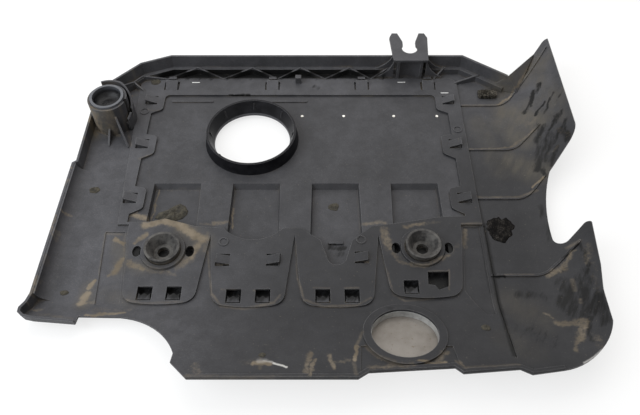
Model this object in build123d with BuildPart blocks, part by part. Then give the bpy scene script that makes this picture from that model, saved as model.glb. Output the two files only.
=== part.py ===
from build123d import *

import os
from math import cos, radians, sin, sqrt, tan

os.makedirs("parts", exist_ok=True)

# An engine cover that lies on its outer face, underside up.
# Millimetres: X to the right, Y to the rear, Z up, table at Z = 0, origin under the middle of the plan.

# Overall plan
width = 554.0
depth = 450.0
left_x = -width / 2
right_x = width / 2
front_y = -depth / 2
bracket_end_y = depth / 2
rear_y = bracket_end_y - 34.5
left_side_x = left_x + 13.0

# Plan outline of the cover moulding at the foot of its skirts, run by run, each from the end of the last
front_run = [(-128.5, front_y + 17.0), (-112.0, front_y), (32.0, front_y), (41.0, front_y + 6.5),
             (115.0, front_y + 11.5), (121.0, front_y + 5.5), (170.0, front_y + 10.0),
             (179.0, front_y + 4.5), (right_x - 70.0, front_y + 9.0)]
front_corner = [(right_x - 30.0, front_y + 32.0), (right_x - 19.0, front_y + 53.0)]
front_wing_run = [(right_x - 11.5, -110.0), (right_x - 8.5, -55.0), (right_x - 41.0, -83.0)]
wing_notch = [(right_x - 40.0, -25.0), (right_x - 29.0, 17.0)]
wing_corner_start = (right_x - 8.0, 43.0)
wing_corner = [(right_x - 2.0, 52.0), (right_x, 63.0)]
rear_wing_run = [(right_x, rear_y + 19.5), (right_x - 54.0, rear_y - 35.5)]
wing_rounds = [(front_wing_run[1], 3.5), (front_wing_run[2], 8.0), (rear_wing_run[0], 3.0),
               (rear_wing_run[1], 5.0)]
rear_run = [(right_x - 103.0, rear_y), (left_x + 95.0, rear_y), (left_x + 61.0, rear_y - 13.5),
            (left_side_x, rear_y - 65.5), (left_side_x, 30.0)]
side_run = [(left_x + 9.0, 27.0), (left_x + 6.5, front_y + 91.0), (left_x + 4.0, front_y + 82.0),
            (left_x, front_y + 76.0), (left_x, front_y + 72.5), (left_x + 4.0, front_y + 69.0),
            (left_x + 12.0, front_y + 67.0), (left_x + 52.0, front_y + 63.0)]
side_end_run = [(left_x + 52.0, front_y + 71.0), (left_x + 91.0, front_y + 70.0)]
front_notch = [(left_x + 131.0, front_y + 52.0), (-128.0, front_y + 27.0)]

# Heights of the two mouldings
finger_depth = 6.0
panel_t = 2.5
skin_t = 2.5
ledge_t = 2.5
skin_z = finger_depth
skin_top = skin_z + skin_t
panel_z = skin_z
panel_top = panel_z + panel_t
ledge_top = panel_top + ledge_t
fit_gap = 0.4

# Skin: turned up along the front, curled up on the right
bend_y = front_y + 93.0
bend_r = 40.0
bend_angle = 20.0
slope_run = 130.0
curl_x = right_x - 72.0
curl_r = 84.0
curl_angle = 65.0
skin_reach = 300.0
trim_height = 120.0

# Skirts round the left and the rear
skirt_t = 2.5
skirt_top = 31.0
skirt_lean = 4.0
side_skirt_top = 22.0
side_skirt_lean = 2.0
side_skirt_end = (left_side_x + 3.0, rear_y - 62.2)
cove_r = 13.0
skirt_root = 30.0
shelf_top = 16.5
shelf_w = 3.0
front_lip_w = 3.5
front_lip_h = 2.0

# Hipped web between the right end of the rear skirt and the rear edge of the wing, by its corners
web_peak = Vector(right_x - 52.0, rear_y - 34.0, skirt_top)
web_wing_end = Vector(right_x - 15.0, rear_y + 2.5, skirt_top + 3.0)
web_foot = Vector(right_x - 40.0, rear_y - 46.5, skin_top + 6.5)
web_skirt_foot = Vector(right_x - 72.0, rear_y - 30.5, skin_top)

# Frame ledge round the opening for the trim panel
opening_w = 351.0
opening_x = -24.0
opening_rear_y = rear_y - 45.0
opening_left = opening_x - opening_w / 2
opening_right = opening_x + opening_w / 2
band_right = 16.0
band_rear = 29.0
band_left_rear = 20.5
band_left_front = 9.5
frame_front_y = -47.0
frame_rear_y = opening_rear_y + band_rear
frame_right = opening_right + band_right
frame_corner_r = 10.0
frame_wall = 2.5
opening_front_y = -51.5
scoop_end_xs = (-38.0, -99.0)
scoop_front_y = -66.0
opening_left_run = [(-129.0, -49.0), (-161.0, -39.5), (-176.0, -43.5), (opening_left, -44.0)]
opening_right_run = [(opening_right, -36.5), (128.0, -37.0), (72.0, -46.5), (53.5, -49.0)]
pocket_root_half = 16.0
pocket_root_y = -67.0
pocket_end_half = 9.0
pocket_end_y = -90.0
pocket_front_y = -96.0
pocket_left_x = -20.0

# Four fingers of the trim panel and the tongues that cover them
finger_pitch = 85.5
finger_row_x = -26.0
finger_xs = [finger_row_x + (i - 1.5) * finger_pitch for i in range(4)]
bar_front_y = -60.0
tongue_tip_ys = [bend_y - run for run in (8.0, 11.0, 11.0, 1.0)]
tongue_tip_w = 68.0
tongue_tip_r = 14.0
tongue_bow = 4.0
finger_rear_y = 9.5
finger_rear_w = 51.0
finger_tip_w = 56.0
finger_tip_margin = 8.0
finger_side_draft = 1.2
finger_end_draft = 4.5

# Clip pads along the frame
pad_depth = 13.0
pad_nose = 27.0
pad_front_foot = 7.5
pad_rear_foot = 2.5
pad_round = 6.0
pad_ys = [64.5, -12.5]
corner_pad_len = 31.0

# Spring tongues cut from the ledge and bent up: along the sides, along the rear and on the panel tongues
spring_len = 13.3
spring_slot = 2.0
spring_end_gap = 0.8
spring_bite = 1.0
side_spring_w = 10.0
side_spring_rise = 5.5
side_spring_ys = [opening_rear_y - 9.5, 65.5, -12.5]
side_spring_in = 4.8
rear_spring_xs = [-181.0, -58.0, 51.0, 132.0]
rear_spring_w = 14.0
rear_spring_rise = 4.0
rear_spring_y = opening_rear_y + 8.4
tab_springs = [((-89.5, -90.3), -1), ((-53.3, -90.0), 1), ((34.5, -87.3), 1)]
tab_spring_rise = 4.0
rear_block = (9.0, 4.0, 3.0)
key_slots = [(-152.5, frame_rear_y - 7.5), (100.0, frame_rear_y - 7.0),
             (opening_right - 0.5, frame_rear_y - 26.0)]
key_slot = (11.0, 2.0)
rear_post = (7.0, 6.0, 9.0)
rear_post_xy = (-26.5, frame_rear_y - 6.5)
mark_r = 5.2
mark_w = 1.4
mark_h = 0.8
mark_xys = [(-97.5, -68.7), (41.7, -66.2), (opening_right + 7.5, 87.7), (opening_left - 8.1, 117.2)]

# Windows in the tongues, with the hooks of the trim panel in them
window_w = 14.5
window_l = 15.0
window_spread = 14.0
window_margin = 4.5
hook_gap = 1.4
hook_top = ledge_top - 1.0
hook_proud = 0.3
hook_reach = 1.0
hook_notch = 2.5
torn_window_xy = (finger_xs[-1] + 12.25, tongue_tip_ys[-1] + 19.5)
torn_window_points = [(-8.9, 9.7), (11.6, 10.1), (9.8, -6.8), (0.1, -10.7), (-3.2, -5.7), (-9.9, -4.5)]

# Ball sockets at the front
socket_xys = [(-157.0, -80.0), (103.0, -76.0)]
socket_names = ["left_socket_grommet", "right_socket_grommet"]
ball_r = 6.0
socket_neck_r = 13.4
socket_body_r = 16.6
socket_rim_r = 17.8
socket_bowl_r = 15.4
socket_floor_r = 9.5
socket_rim_z = 19.5
socket_floor_z = 9.0
socket_foot_z = 4.0
socket_gap = 0.3
seat_ring_r = 23.0
seat_ring_h = 2.6
seat_ring_draft = 20.0
ear_w = 9.0
ear_h = 13.0
ear_spread = 26.5

# Mounting tower at the rear left
tower_x = left_x + 37.0
tower_y = rear_y - 88.0
tower_r = 21.7
tower_t = 2.5
tower_top = 50.0
tower_floor_z = 34.5
tower_floor_t = 2.5
tower_slot_w = 4.5
tower_slot_z = 22.0
tower_slot_shift = 4.0
tower_gap = 0.3
tower_cup_rim = 3.0
tower_cup_floor = 2.5
tower_cup_flat_r = 7.0
tower_tube_top = 47.0
tower_sleeve_r = 25.0
tower_sleeve_ends = [(-32.0, 20.0), (115.0, 44.0)]
tower_sleeve_high = (12.5, 21.7, tower_top)
tower_sleeve_low = (22.7, -10.6, 28.0)
gusset_t = 2.0
gusset_foot_top = skin_top + 1.0
gussets = [((0.0, -38.8), 20.0), ((22.8, -41.0), 37.0)]
tower_cup_drop = 0.5

# Hook bracket at the rear
bracket_x = 109.5
bracket_w = 41.5
bracket_tip_w = 47.0
bracket_chamfer = (3.4, 8.5)
bracket_t = 3.0
bracket_top = 40.0
bracket_front_y = rear_y - 16.5
bracket_hole_r = 9.5
bracket_hole_y = bracket_end_y - 28.5
bracket_mouth_w = 15.7
bracket_mouth_y = bracket_end_y - 16.0
bracket_mouth_tip_w = 26.7
bracket_web_spread = 14.0
bracket_web_t = 3.0
bracket_hollow = 7.0
flank_sag = 0.37
flanks = [(rear_y - 3.5, 23.0, shelf_top), (rear_y - 13.5, 20.0, ledge_top + 1.0)]

# Zigzag ribs between the frame and the rear skirt
rib_t = 1.8
rib_low = 11.5
rib_high = 18.5
rib_bite = 1.0
zigzag_xs = [-188.0, -151.0, -119.0, -83.5, -52.5, -24.0, 6.0, 36.5, 62.5, 85.0]

corner_peak = (left_x + 60.0, rear_y - 19.5)
corner_knee = (left_x + 51.0, rear_y - 30.5)
corner_ribs = [(corner_peak, corner_knee, rib_high, rib_high),
               (corner_knee, (left_x + 64.0, rear_y - 38.5), rib_high, rib_low),
               (corner_knee, (left_x + 33.0, rear_y - 50.5), rib_high, skirt_top - 4.0),
               (corner_peak, (zigzag_xs[0], frame_rear_y - rib_bite), rib_high, rib_low)]
right_ribs = [((140.0, frame_rear_y - rib_bite), (154.0, rear_y - skirt_t - rib_bite), rib_low, rib_high),
              ((frame_right - 2.5, frame_rear_y - 8.0), (frame_right + 26.5, rear_y - 17.5), rib_low,
               rib_high)]

# Wing ribs that run out to the right and sweep back, given by their left end and where they end
wing_rib_w = 2.4
wing_rib_h = 1.4
wing_rib_turn_x = curl_x + 15.0
wing_rib_turn_r = 24.0
wing_rib_ends = [(129.0, (right_x - 4.0, 193.0)), (58.0, (right_x - 27.0, 86.0)),
                 (-12.0, (right_x - 34.0, 14.0)), (-107.0, (right_x - 21.0, -77.0))]

# Shallow cuts into the inner face of the skin
groove_w = 1.3
groove_depth = 0.9
groove_x = frame_right + 2.0
groove_end_y = front_y + 22.0
left_strip = [(left_x + 57.0, -55.0), (left_x + 77.0, -55.0), (left_x + 86.0, bend_y - 5.0),
              (left_x + 63.0, bend_y - 7.0)]
right_strip = [(frame_right - 19.5, -49.0), (frame_right - 3.5, -49.0), (frame_right - 3.5, bend_y - 20.0),
               (frame_right - 11.5, bend_y - 20.0), (frame_right - 27.5, bend_y + 8.0)]
ring_pocket = [(36.0, front_y + 35.0), (117.0, front_y + 35.0), (121.0, front_y), (34.0, front_y)]

# Round front opening and the bright cap that closes it
ring_x = 76.5
ring_y = front_y + 49.5
ring_r = 38.0
ring_hole_r = 30.5
cap_inner_r = 30.0
ring_boss_up = 1.8
ring_boss_down = 7.0
ring_lip_t = 2.4
cap_wall = 3.0
cap_disc_r = 36.0
cap_disc_t = 1.3

# Filler hole collar
collar_xy = (-77.5, opening_rear_y - 72.0)
collar_base_r = 53.0
collar_rim_r = 50.6
collar_rim_t = 2.4
collar_h = 15.5
collar_hole_r = 43.0
collar_spigot_h = 3.5
collar_wall = 2.2
collar_ribs = 8
collar_rib_t = 1.6
collar_rib_r = 43.5
collar_rib_z = 3.0
collar_rib_bite = 1.0
collar_rib_top = 1.2
collar_groove_in = 1.6
collar_groove_top = 4.0

# Blank badge plate on the outer face and its pins
badge_w = 176.0
badge_l = 36.0
badge_t = 1.5
badge_corner_r = 6.0
pin_xs = [-21.0, 28.0, 87.0, 138.0]
pin_y = opening_rear_y - 34.0
pin_r = 1.6
pin_out = 0.6
pin_gap = 0.1

# Raised ridges on the inside of the trim panel
ridge_y = opening_rear_y - 9.5
ridge_w = 3.0
ridge_h = 1.2
ridges = [(-178.0, -128.0), (-76.0, -15.0)]

# Foam pieces
foam_size = (24.0, 12.0, 7.0)
foam_xy = (curl_x - 3.0, rear_y - 44.5)
foam_edge_r = 1.5
torn_foam_t = 5.0
torn_foam_draft = 15.0
torn_foam_xy = (frame_right + 20.5, -52.0)
torn_foam_points = [(-12.0, -8.0), (-5.0, -10.0), (1.0, -18.0), (6.0, -10.0), (17.0, -6.0), (11.0, 2.0),
                    (15.0, 9.0), (8.0, 17.0), (-1.0, 12.0), (-10.0, 14.0), (-15.0, 5.0)]


def skin_rise(y):
    """How far the inner face of the skin has risen above its flat part at this distance to the front."""
    run = bend_y - y
    arc_run = bend_r * sin(radians(bend_angle))
    if run <= 0:
        return 0.0
    if run < arc_run:
        return bend_r - sqrt(bend_r**2 - run**2)
    return bend_r * (1 - cos(radians(bend_angle))) + (run - arc_run) * tan(radians(bend_angle))


def sweep_skin(low, high):
    """A layer that follows the skin, between two heights of its flat part."""
    axis_z = skin_top + curl_r
    end_x = sin(radians(curl_angle))
    end_z = cos(radians(curl_angle))
    with BuildSketch(Plane.XZ.offset(-skin_reach)) as section:
        with BuildLine():
            Polyline((curl_x, high), (-skin_reach, high), (-skin_reach, low), (curl_x, low))
            CenterArc((curl_x, axis_z), axis_z - low, -90, curl_angle)
            CenterArc((curl_x, axis_z), axis_z - high, -90, curl_angle)
            Line(
                (curl_x + (axis_z - low) * end_x, axis_z - (axis_z - low) * end_z),
                (curl_x + (axis_z - high) * end_x, axis_z - (axis_z - high) * end_z),
            )
        make_face()
    with BuildLine(Plane.YZ) as spine:
        flat = Line((skin_reach, skin_top), (bend_y, skin_top))
        bend = JernArc(flat @ 1, flat % 1, bend_r, -bend_angle)
        PolarLine(bend @ 1, slope_run, direction=bend % 1)
    sweep(section.sketch, path=spine.wire())


def cover_plan():
    """Plan outline of the cover moulding at the foot of its skirts."""
    with BuildLine() as outline:
        Polyline(front_notch[-1], *front_run)
        ThreePointArc(front_run[-1], *front_corner)
        Polyline(front_corner[-1], *front_wing_run)
        ThreePointArc(front_wing_run[-1], *wing_notch)
        Line(wing_notch[-1], wing_corner_start)
        ThreePointArc(wing_corner_start, *wing_corner)
        Polyline(wing_corner[-1], *rear_wing_run)
        Polyline(rear_wing_run[-1], *rear_run)
        Polyline(rear_run[-1], *side_run)
        Polyline(side_run[-1], *side_end_run)
        ThreePointArc(side_end_run[-1], *front_notch)
    with BuildSketch() as plan:
        make_face(outline.edges())
        for corner, radius in wing_rounds:
            fillet(plan.vertices().sort_by_distance((*corner, 0))[0], radius)
    add(plan.sketch)


def skirt(points, top_z, lean, shelf):
    """Leaning wall on the skin, its outer foot along the plan points, with an optional shelf inside."""
    foot = [Vector(x, y, skin_z) for x, y in points]
    heading = foot[1] - foot[0]
    outward = Vector(-heading.Y, heading.X, 0)
    height = top_z - skin_z
    with BuildLine() as course:
        Polyline(*foot)
    with BuildSketch(Plane(origin=foot[0], x_dir=outward, z_dir=heading)) as section:
        Polygon((0, 0), (lean, height), (lean - skirt_t, height), (-skirt_t, 0), align=None)
        if shelf:
            shelf_h = shelf_top - skin_z
            Polygon((0, 0), (0, shelf_h), (-skirt_t - shelf_w, shelf_h), (-skirt_t - shelf_w, 0), align=None)
    sweep(section.sketch, path=course.wire(), transition=Transition.RIGHT)


def cove(start, end):
    """Hollow fillet on the skin along the inner face of a straight skirt, given by two points of its foot."""
    foot = Vector(*start, skin_z)
    heading = Vector(*end, skin_z) - foot
    outward = Vector(-heading.Y, heading.X, 0)
    with BuildSketch(Plane(origin=foot, x_dir=outward, z_dir=heading)) as section:
        with BuildLine() as edge:
            hollow = CenterArc((-skirt_t - cove_r, skin_t + cove_r), cove_r, -90, 90)
            Polyline(hollow @ 1, (0, skin_t + cove_r), (0, 0), (-skirt_t - cove_r, 0), hollow @ 0)
        make_face(edge.edges())
    extrude(section.sketch, amount=heading.length)


def rib(start, end, start_top, end_top, thickness):
    """Upright rib on the skin between two plan points, its top edge running between two heights."""
    foot = Vector(start[0], start[1], skin_z)
    along = Vector(end[0] - start[0], end[1] - start[1], 0)
    with BuildSketch(Plane(origin=foot, x_dir=along, z_dir=along.cross(Vector(0, 0, 1)))) as side:
        Polygon(
            (0, 0), (along.length, 0), (along.length, end_top - skin_z), (0, start_top - skin_z), align=None
        )
    extrude(side.sketch, amount=thickness / 2, both=True)


def flank(x, y, run, high, low):
    """Upright rib along the rear edge whose top sweeps down in a hollow curve from one height to another."""
    with BuildSketch(Plane.XZ.offset(-y)) as side:
        with BuildLine() as edge:
            end_x = x + run
            middle = (x + run * flank_sag, low + (high - low) * flank_sag)
            fall = ThreePointArc((x, high), middle, (end_x, low))
            Polyline(fall @ 1, (end_x, skin_z), (x, skin_z), fall @ 0)
        make_face(edge.edges())
    extrude(side.sketch, amount=rib_t / 2, both=True)


def panel_plan(inset):
    """Frame, lower bar and four tongues in plan, drawn in by inset all round."""
    left_rear = opening_left - band_left_rear + inset
    left_front = opening_left - band_left_front + inset
    right = frame_right - inset
    rear = frame_rear_y - inset
    front = frame_front_y + inset
    with BuildSketch() as frame:
        Polygon((left_front, front), (right, front), (right, rear), (left_rear, rear), align=None)
        fillet(frame.vertices().group_by(Axis.Y)[-1], frame_corner_r - inset)
    add(frame.sketch)
    bar_left = finger_xs[0] - finger_pitch / 2 + inset
    bar_right = finger_xs[-1] + finger_pitch / 2 - inset
    bar_front = bar_front_y + inset
    Polygon((bar_left, bar_front), (bar_right, bar_front), (bar_right, front), (bar_left, front), align=None)
    for x, tip_y in zip(finger_xs, tongue_tip_ys):
        root_half = finger_pitch / 2 - inset
        tip_half = tongue_tip_w / 2 - inset
        tip = tip_y + inset
        with BuildLine() as edge:
            bow = ThreePointArc((x - tip_half, tip + tongue_bow), (x, tip), (x + tip_half, tip + tongue_bow))
            Polyline(bow @ 1, (x + root_half, bar_front), (x - root_half, bar_front), bow @ 0)
        with BuildSketch() as tongue:
            make_face(edge.edges())
            fillet(tongue.vertices().group_by(Axis.Y)[0], tongue_tip_r - inset)
        add(tongue.sketch)


def opening_plan():
    """The opening inside the frame: straight sides, a wavy front edge and clip pads that stand into it."""
    scoop_x = finger_xs[1]
    pocket_x = finger_xs[2]
    with BuildLine() as outline:
        first = Line((pocket_left_x, opening_front_y), (scoop_end_xs[0], opening_front_y))
        scoop = ThreePointArc(first @ 1, (scoop_x, scoop_front_y), (scoop_end_xs[1], opening_front_y))
        left = Polyline(scoop @ 1, *opening_left_run)
        rear = Polyline(left @ 1, (opening_left, opening_rear_y), (opening_right, opening_rear_y))
        right = Polyline(rear @ 1, *opening_right_run)
        pocket_ends = [(pocket_x + side * pocket_end_half, pocket_end_y) for side in (1, -1)]
        Polyline(right @ 1, (pocket_x + pocket_root_half, pocket_root_y), pocket_ends[0])
        ThreePointArc(pocket_ends[0], (pocket_x, pocket_front_y), pocket_ends[1])
        Polyline(pocket_ends[1], (pocket_x - pocket_root_half, pocket_root_y), first @ 0)
    with BuildSketch() as opening:
        make_face(outline.edges())
        for side_x, inward in ((opening_left, 1), (opening_right, -1)):
            nose_x = side_x + inward * pad_depth
            for y in pad_ys:
                nose_front = y - pad_nose / 2
                nose_rear = y + pad_nose / 2
                Polygon(
                    (side_x, nose_front - pad_front_foot), (nose_x, nose_front),
                    (nose_x, nose_rear), (side_x, nose_rear + pad_rear_foot),
                    align=None, mode=Mode.SUBTRACT,
                )
            corner_y = opening_rear_y - corner_pad_len
            Polygon(
                (side_x, corner_y), (nose_x, corner_y + pad_depth / 2),
                (nose_x, opening_rear_y), (side_x, opening_rear_y),
                align=None, mode=Mode.SUBTRACT,
            )
            noses = opening.vertices().filter_by_position(Axis.X, nose_x - fit_gap, nose_x + fit_gap)
            fillet(noses, pad_round)
    add(opening.sketch)


def springs():
    """Hinge point, heading, width and rise of each spring tongue."""
    for y in side_spring_ys:
        yield Vector(opening_left + side_spring_in, y), Vector(-1, 0), side_spring_w, side_spring_rise
        yield Vector(opening_right - side_spring_in, y), Vector(1, 0), side_spring_w, side_spring_rise
    for x in rear_spring_xs:
        yield Vector(x, rear_spring_y), Vector(0, 1), rear_spring_w, rear_spring_rise
    for hinge, side in tab_springs:
        yield Vector(*hinge), Vector(side, 0), side_spring_w, tab_spring_rise


def spring_hole(hinge, heading, spring_w):
    """Plan of the hole round a spring tongue: the tongue, a slot on each side and a gap at its free end."""
    side = Vector(-heading.Y, heading.X) * (spring_w / 2 + spring_slot)
    far = hinge + heading * (spring_len + spring_end_gap)
    corners = [hinge + side, far + side, far - side, hinge - side]
    Polygon(*[(corner.X, corner.Y) for corner in corners], align=None)


def spring_leaf(hinge, heading, spring_w, rise):
    """Spring tongue that rises from its hinge in the ledge to its free end."""
    base = Vector(hinge.X, hinge.Y, ledge_top)
    with BuildSketch(Plane(origin=base, x_dir=heading, z_dir=heading.cross(Vector(0, 0, 1)))) as side:
        Polygon(
            (-spring_bite, -ledge_t), (0, -ledge_t), (spring_len, rise - ledge_t), (spring_len, rise), (0, 0),
            (-spring_bite, 0), align=None,
        )
    extrude(side.sketch, amount=spring_w / 2, both=True)


def window_places():
    """Centre of each window through the tongues that still has its own edges."""
    for i, x in enumerate(finger_xs):
        y = tongue_tip_ys[i] + window_margin + window_l / 2
        yield x - window_spread, y
        if i < 3:
            yield x + window_spread, y


def hook_plan(x, y):
    """Forked end of a snap hook, in plan, at the front of its window."""
    half = window_w / 2 - hook_gap
    front = y - window_l / 2 + hook_gap
    back = y + hook_reach
    Polygon(
        (x - half, front), (x + half, front), (x + half, back), (x + half - hook_notch, back - hook_notch),
        (x, back), (x - half + hook_notch, back - hook_notch), (x - half, back),
        align=None,
    )


def finger_plan(x, tip_y, side_inset, end_inset):
    """One hollow runner finger of the trim panel, in plan."""
    rear_half = finger_rear_w / 2 - side_inset
    tip_half = finger_tip_w / 2 - side_inset
    Polygon(
        (x - tip_half, tip_y + end_inset), (x + tip_half, tip_y + end_inset),
        (x + rear_half, finger_rear_y - end_inset), (x - rear_half, finger_rear_y - end_inset),
        align=None,
    )


# Plane of the sloping front, through the middle of the round opening on the inner face of the skin
slope_normal = (0, sin(radians(bend_angle)), cos(radians(bend_angle)))
ring_plane = Plane(
    origin=(ring_x, ring_y, skin_top + skin_rise(ring_y)), x_dir=(1, 0, 0), z_dir=slope_normal
)


def on_slope(x, y):
    """Point of the sloping front, in the ring plane's own axes, above or below this plan point."""
    return x - ring_x, (y - ring_y) / cos(radians(bend_angle))


# Low ribs that follow the wing's surface
with BuildPart() as wing_ribs:
    sweep_skin(skin_z + skin_t / 2, skin_top + wing_rib_h)
    with BuildSketch():
        for y, end in wing_rib_ends:
            with BuildLine() as course:
                FilletPolyline((frame_right, y), (wing_rib_turn_x, y), end, radius=wing_rib_turn_r)
            trace(course.edges(), line_width=wing_rib_w)
    extrude(amount=trim_height, mode=Mode.INTERSECT)

# Shallow cuts into the inner face of the skin: the line beside the wing, two strips, the pocket by the ring
with BuildPart() as face_cuts:
    sweep_skin(skin_top - groove_depth, skin_top + ledge_t)
    with BuildSketch():
        with BuildLine() as course:
            Line((groove_x, frame_front_y), (groove_x, groove_end_y))
        trace(course.edges(), line_width=groove_w)
        Polygon(*left_strip, align=None)
        Polygon(*right_strip, align=None)
        Polygon(*ring_pocket, align=None)
    extrude(amount=trim_height, mode=Mode.INTERSECT)

# Skin of the cover, trimmed to its plan
with BuildPart() as skin:
    sweep_skin(skin_z, skin_top)
    with BuildSketch():
        cover_plan()
    extrude(amount=trim_height, mode=Mode.INTERSECT)
    add(wing_ribs.part)
    add(face_cuts.part, mode=Mode.SUBTRACT)

# Space on the outer side of the skin, which the skirts and ribs stay out of
with BuildPart() as outside:
    sweep_skin(skin_z - skirt_root, skin_z)

# Hipped web at the right end of the rear skirt, cut from a block by its two sloping faces
with BuildPart() as corner_web:
    with BuildSketch(Plane.XY.offset(skin_z)):
        web_corners = [web_peak, web_skirt_foot, web_foot, web_wing_end]
        Polygon(*[(corner.X, corner.Y) for corner in web_corners], align=None)
    extrude(amount=trim_height)
    hip = web_foot - web_peak
    for side in (hip.cross(web_wing_end - web_peak), (web_skirt_foot - web_peak).cross(hip)):
        split(bisect_by=Plane(origin=web_peak, x_dir=hip, z_dir=side), keep=Keep.BOTTOM)

# Sleeve behind the mounting tower, its top edge falling to the front
tower_xy = (tower_x, tower_y)
with BuildPart() as tower_sleeve:
    with BuildSketch(Plane.XY.offset(skin_z)):
        with BuildLine() as course:
            sleeve_start, sleeve_end = [angle for angle, end_rib_top in tower_sleeve_ends]
            CenterArc(tower_xy, tower_sleeve_r, sleeve_start, sleeve_end - sleeve_start)
        trace(course.edges(), line_width=gusset_t)
    extrude(amount=tower_top - skin_z)
    sleeve_fall = Vector(*tower_sleeve_low) - Vector(*tower_sleeve_high)
    sleeve_across = Vector(sleeve_fall.Y, -sleeve_fall.X, 0)
    sleeve_edge = Vector(tower_x, tower_y, 0) + Vector(*tower_sleeve_high)
    split(bisect_by=Plane(origin=sleeve_edge, x_dir=sleeve_across, z_dir=sleeve_across.cross(sleeve_fall)),
          keep=Keep.BOTTOM)

# The cover moulding
with BuildPart() as cover_shell:
    # Skirts, the side one lower than the rear one
    skirt([*side_run[::-1], *rear_run[:-3:-1], side_skirt_end], side_skirt_top, side_skirt_lean, False)
    skirt([*rear_run[-2::-1], rear_wing_run[-1]], skirt_top, skirt_lean, True)
    cove(side_run[1], side_run[0])
    add(corner_web.part)

    # Mounting tower: slotted tube with a floor for its rubber cup, a sleeve on one side and gussets
    with BuildSketch(Plane.XY.offset(skin_z)):
        with Locations(tower_xy):
            Circle(tower_r)
            Circle(tower_r - tower_t, mode=Mode.SUBTRACT)
    extrude(amount=tower_tube_top - skin_z)
    with BuildSketch(Plane.XY.offset(tower_floor_z - tower_floor_t)):
        with Locations(tower_xy):
            Circle(tower_r - tower_t / 2)
    extrude(amount=tower_floor_t)
    add(tower_sleeve.part)
    tower_mid_r = tower_r - tower_t / 2
    for angle, end_rib_top in tower_sleeve_ends:
        out = Vector(cos(radians(angle)), sin(radians(angle)))
        rib(
            (tower_x + out.X * tower_mid_r, tower_y + out.Y * tower_mid_r),
            (tower_x + out.X * tower_sleeve_r, tower_y + out.Y * tower_sleeve_r),
            end_rib_top, end_rib_top, gusset_t,
        )
    with BuildSketch(Plane.XY.offset(tower_slot_z)):
        with Locations((tower_x + tower_r, tower_y - tower_slot_shift)):
            Rectangle(3 * tower_t, tower_slot_w)
    extrude(amount=tower_top, mode=Mode.SUBTRACT)
    for foot, gusset_top in gussets:
        out = Vector(*foot).normalized()
        rib(
            (tower_x + out.X * tower_mid_r, tower_y + out.Y * tower_mid_r),
            (tower_x + foot[0], tower_y + foot[1]),
            gusset_top, gusset_foot_top, gusset_t,
        )

    # Box of ribs between the tower, the skirt and the frame, and the ribs to the right of the bracket
    for start, end, start_top, end_top in corner_ribs + right_ribs:
        rib(start, end, start_top, end_top, rib_t)

    # Zigzag ribs behind the frame
    for i in range(len(zigzag_xs) - 1):
        frame_end = (zigzag_xs[i + i % 2], frame_rear_y - rib_bite)
        skirt_end = (zigzag_xs[i + 1 - i % 2], rear_y - skirt_t - shelf_w / 2)
        rib(frame_end, skirt_end, rib_low, rib_high, rib_t)

    # Hook bracket: keyhole plate on two webs with a hollow wall between, the skirt raised beside its hole
    plate_mid_z = bracket_top - bracket_t / 2
    tip_half = bracket_tip_w / 2
    chamfer_x, chamfer_y = bracket_chamfer
    plate_side = [(bracket_w / 2, bracket_front_y), (tip_half, bracket_end_y - chamfer_y),
                  (tip_half - chamfer_x, bracket_end_y), (bracket_mouth_tip_w / 2, bracket_end_y),
                  (bracket_mouth_w / 2, bracket_mouth_y), (bracket_mouth_w / 2, bracket_hole_y)]
    with BuildSketch(Plane.XY.offset(bracket_top - bracket_t)):
        Polygon(
            *[(bracket_x + x, y) for x, y in plate_side], *[(bracket_x - x, y) for x, y in plate_side[::-1]],
            align=None,
        )
        with Locations((bracket_x, bracket_hole_y)):
            Circle(bracket_hole_r, mode=Mode.SUBTRACT)
    extrude(amount=bracket_t)
    web_front_y = bracket_front_y + rib_bite
    raised_y = rear_y - skirt_t / 2
    for side in (-1, 1):
        web_x = bracket_x + side * bracket_web_spread
        plate_edge_x = bracket_x + side * bracket_w / 2
        rib((web_x, web_front_y), (web_x, rear_y), plate_mid_z, plate_mid_z, bracket_web_t)
        rib((web_x, raised_y), (plate_edge_x, raised_y), plate_mid_z, plate_mid_z, skirt_t)
        for y, run, low in flanks:
            flank(plate_edge_x - side * rib_bite, y, side * run, plate_mid_z, low)
    with BuildSketch(Plane.XY.offset(skin_z)):
        with BuildLine() as hollow_wall:
            ThreePointArc(
                (bracket_x - bracket_web_spread, web_front_y + rib_t / 2),
                (bracket_x, web_front_y + bracket_hollow),
                (bracket_x + bracket_web_spread, web_front_y + rib_t / 2),
            )
        trace(hollow_wall.edges(), line_width=rib_t)
    extrude(amount=plate_mid_z - skin_z)

    # Everything so far stands on the skin
    add(outside.part, mode=Mode.SUBTRACT)
    add(skin.part)

    # Lip along the sloping front edge
    with BuildSketch(ring_plane):
        with BuildLine() as lip:
            Polyline(*[on_slope(x, y + front_lip_w / 2) for x, y in front_run[1:]])
        trace(lip.edges(), line_width=front_lip_w)
    extrude(amount=front_lip_h)

    # Frame ledge, lower bar and tongues, hollow below for the trim panel
    with BuildSketch(Plane.XY.offset(skin_z)):
        panel_plan(0)
    extrude(amount=ledge_top - skin_z)
    with BuildSketch(Plane.XY.offset(panel_z)):
        panel_plan(frame_wall)
    extrude(amount=panel_t, mode=Mode.SUBTRACT)
    with BuildSketch(Plane.XY.offset(panel_z)):
        opening_plan()
    extrude(amount=ledge_top, mode=Mode.SUBTRACT)

    # Spring tongues, and the slots for the panel's locating keys
    with BuildSketch(Plane.XY.offset(panel_top)):
        for hinge, heading, spring_w, rise in springs():
            spring_hole(hinge, heading, spring_w)
        with Locations(*key_slots):
            Rectangle(*key_slot)
    extrude(amount=ledge_t, mode=Mode.SUBTRACT)
    for hinge, heading, spring_w, rise in springs():
        spring_leaf(hinge, heading, spring_w, rise)

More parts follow.
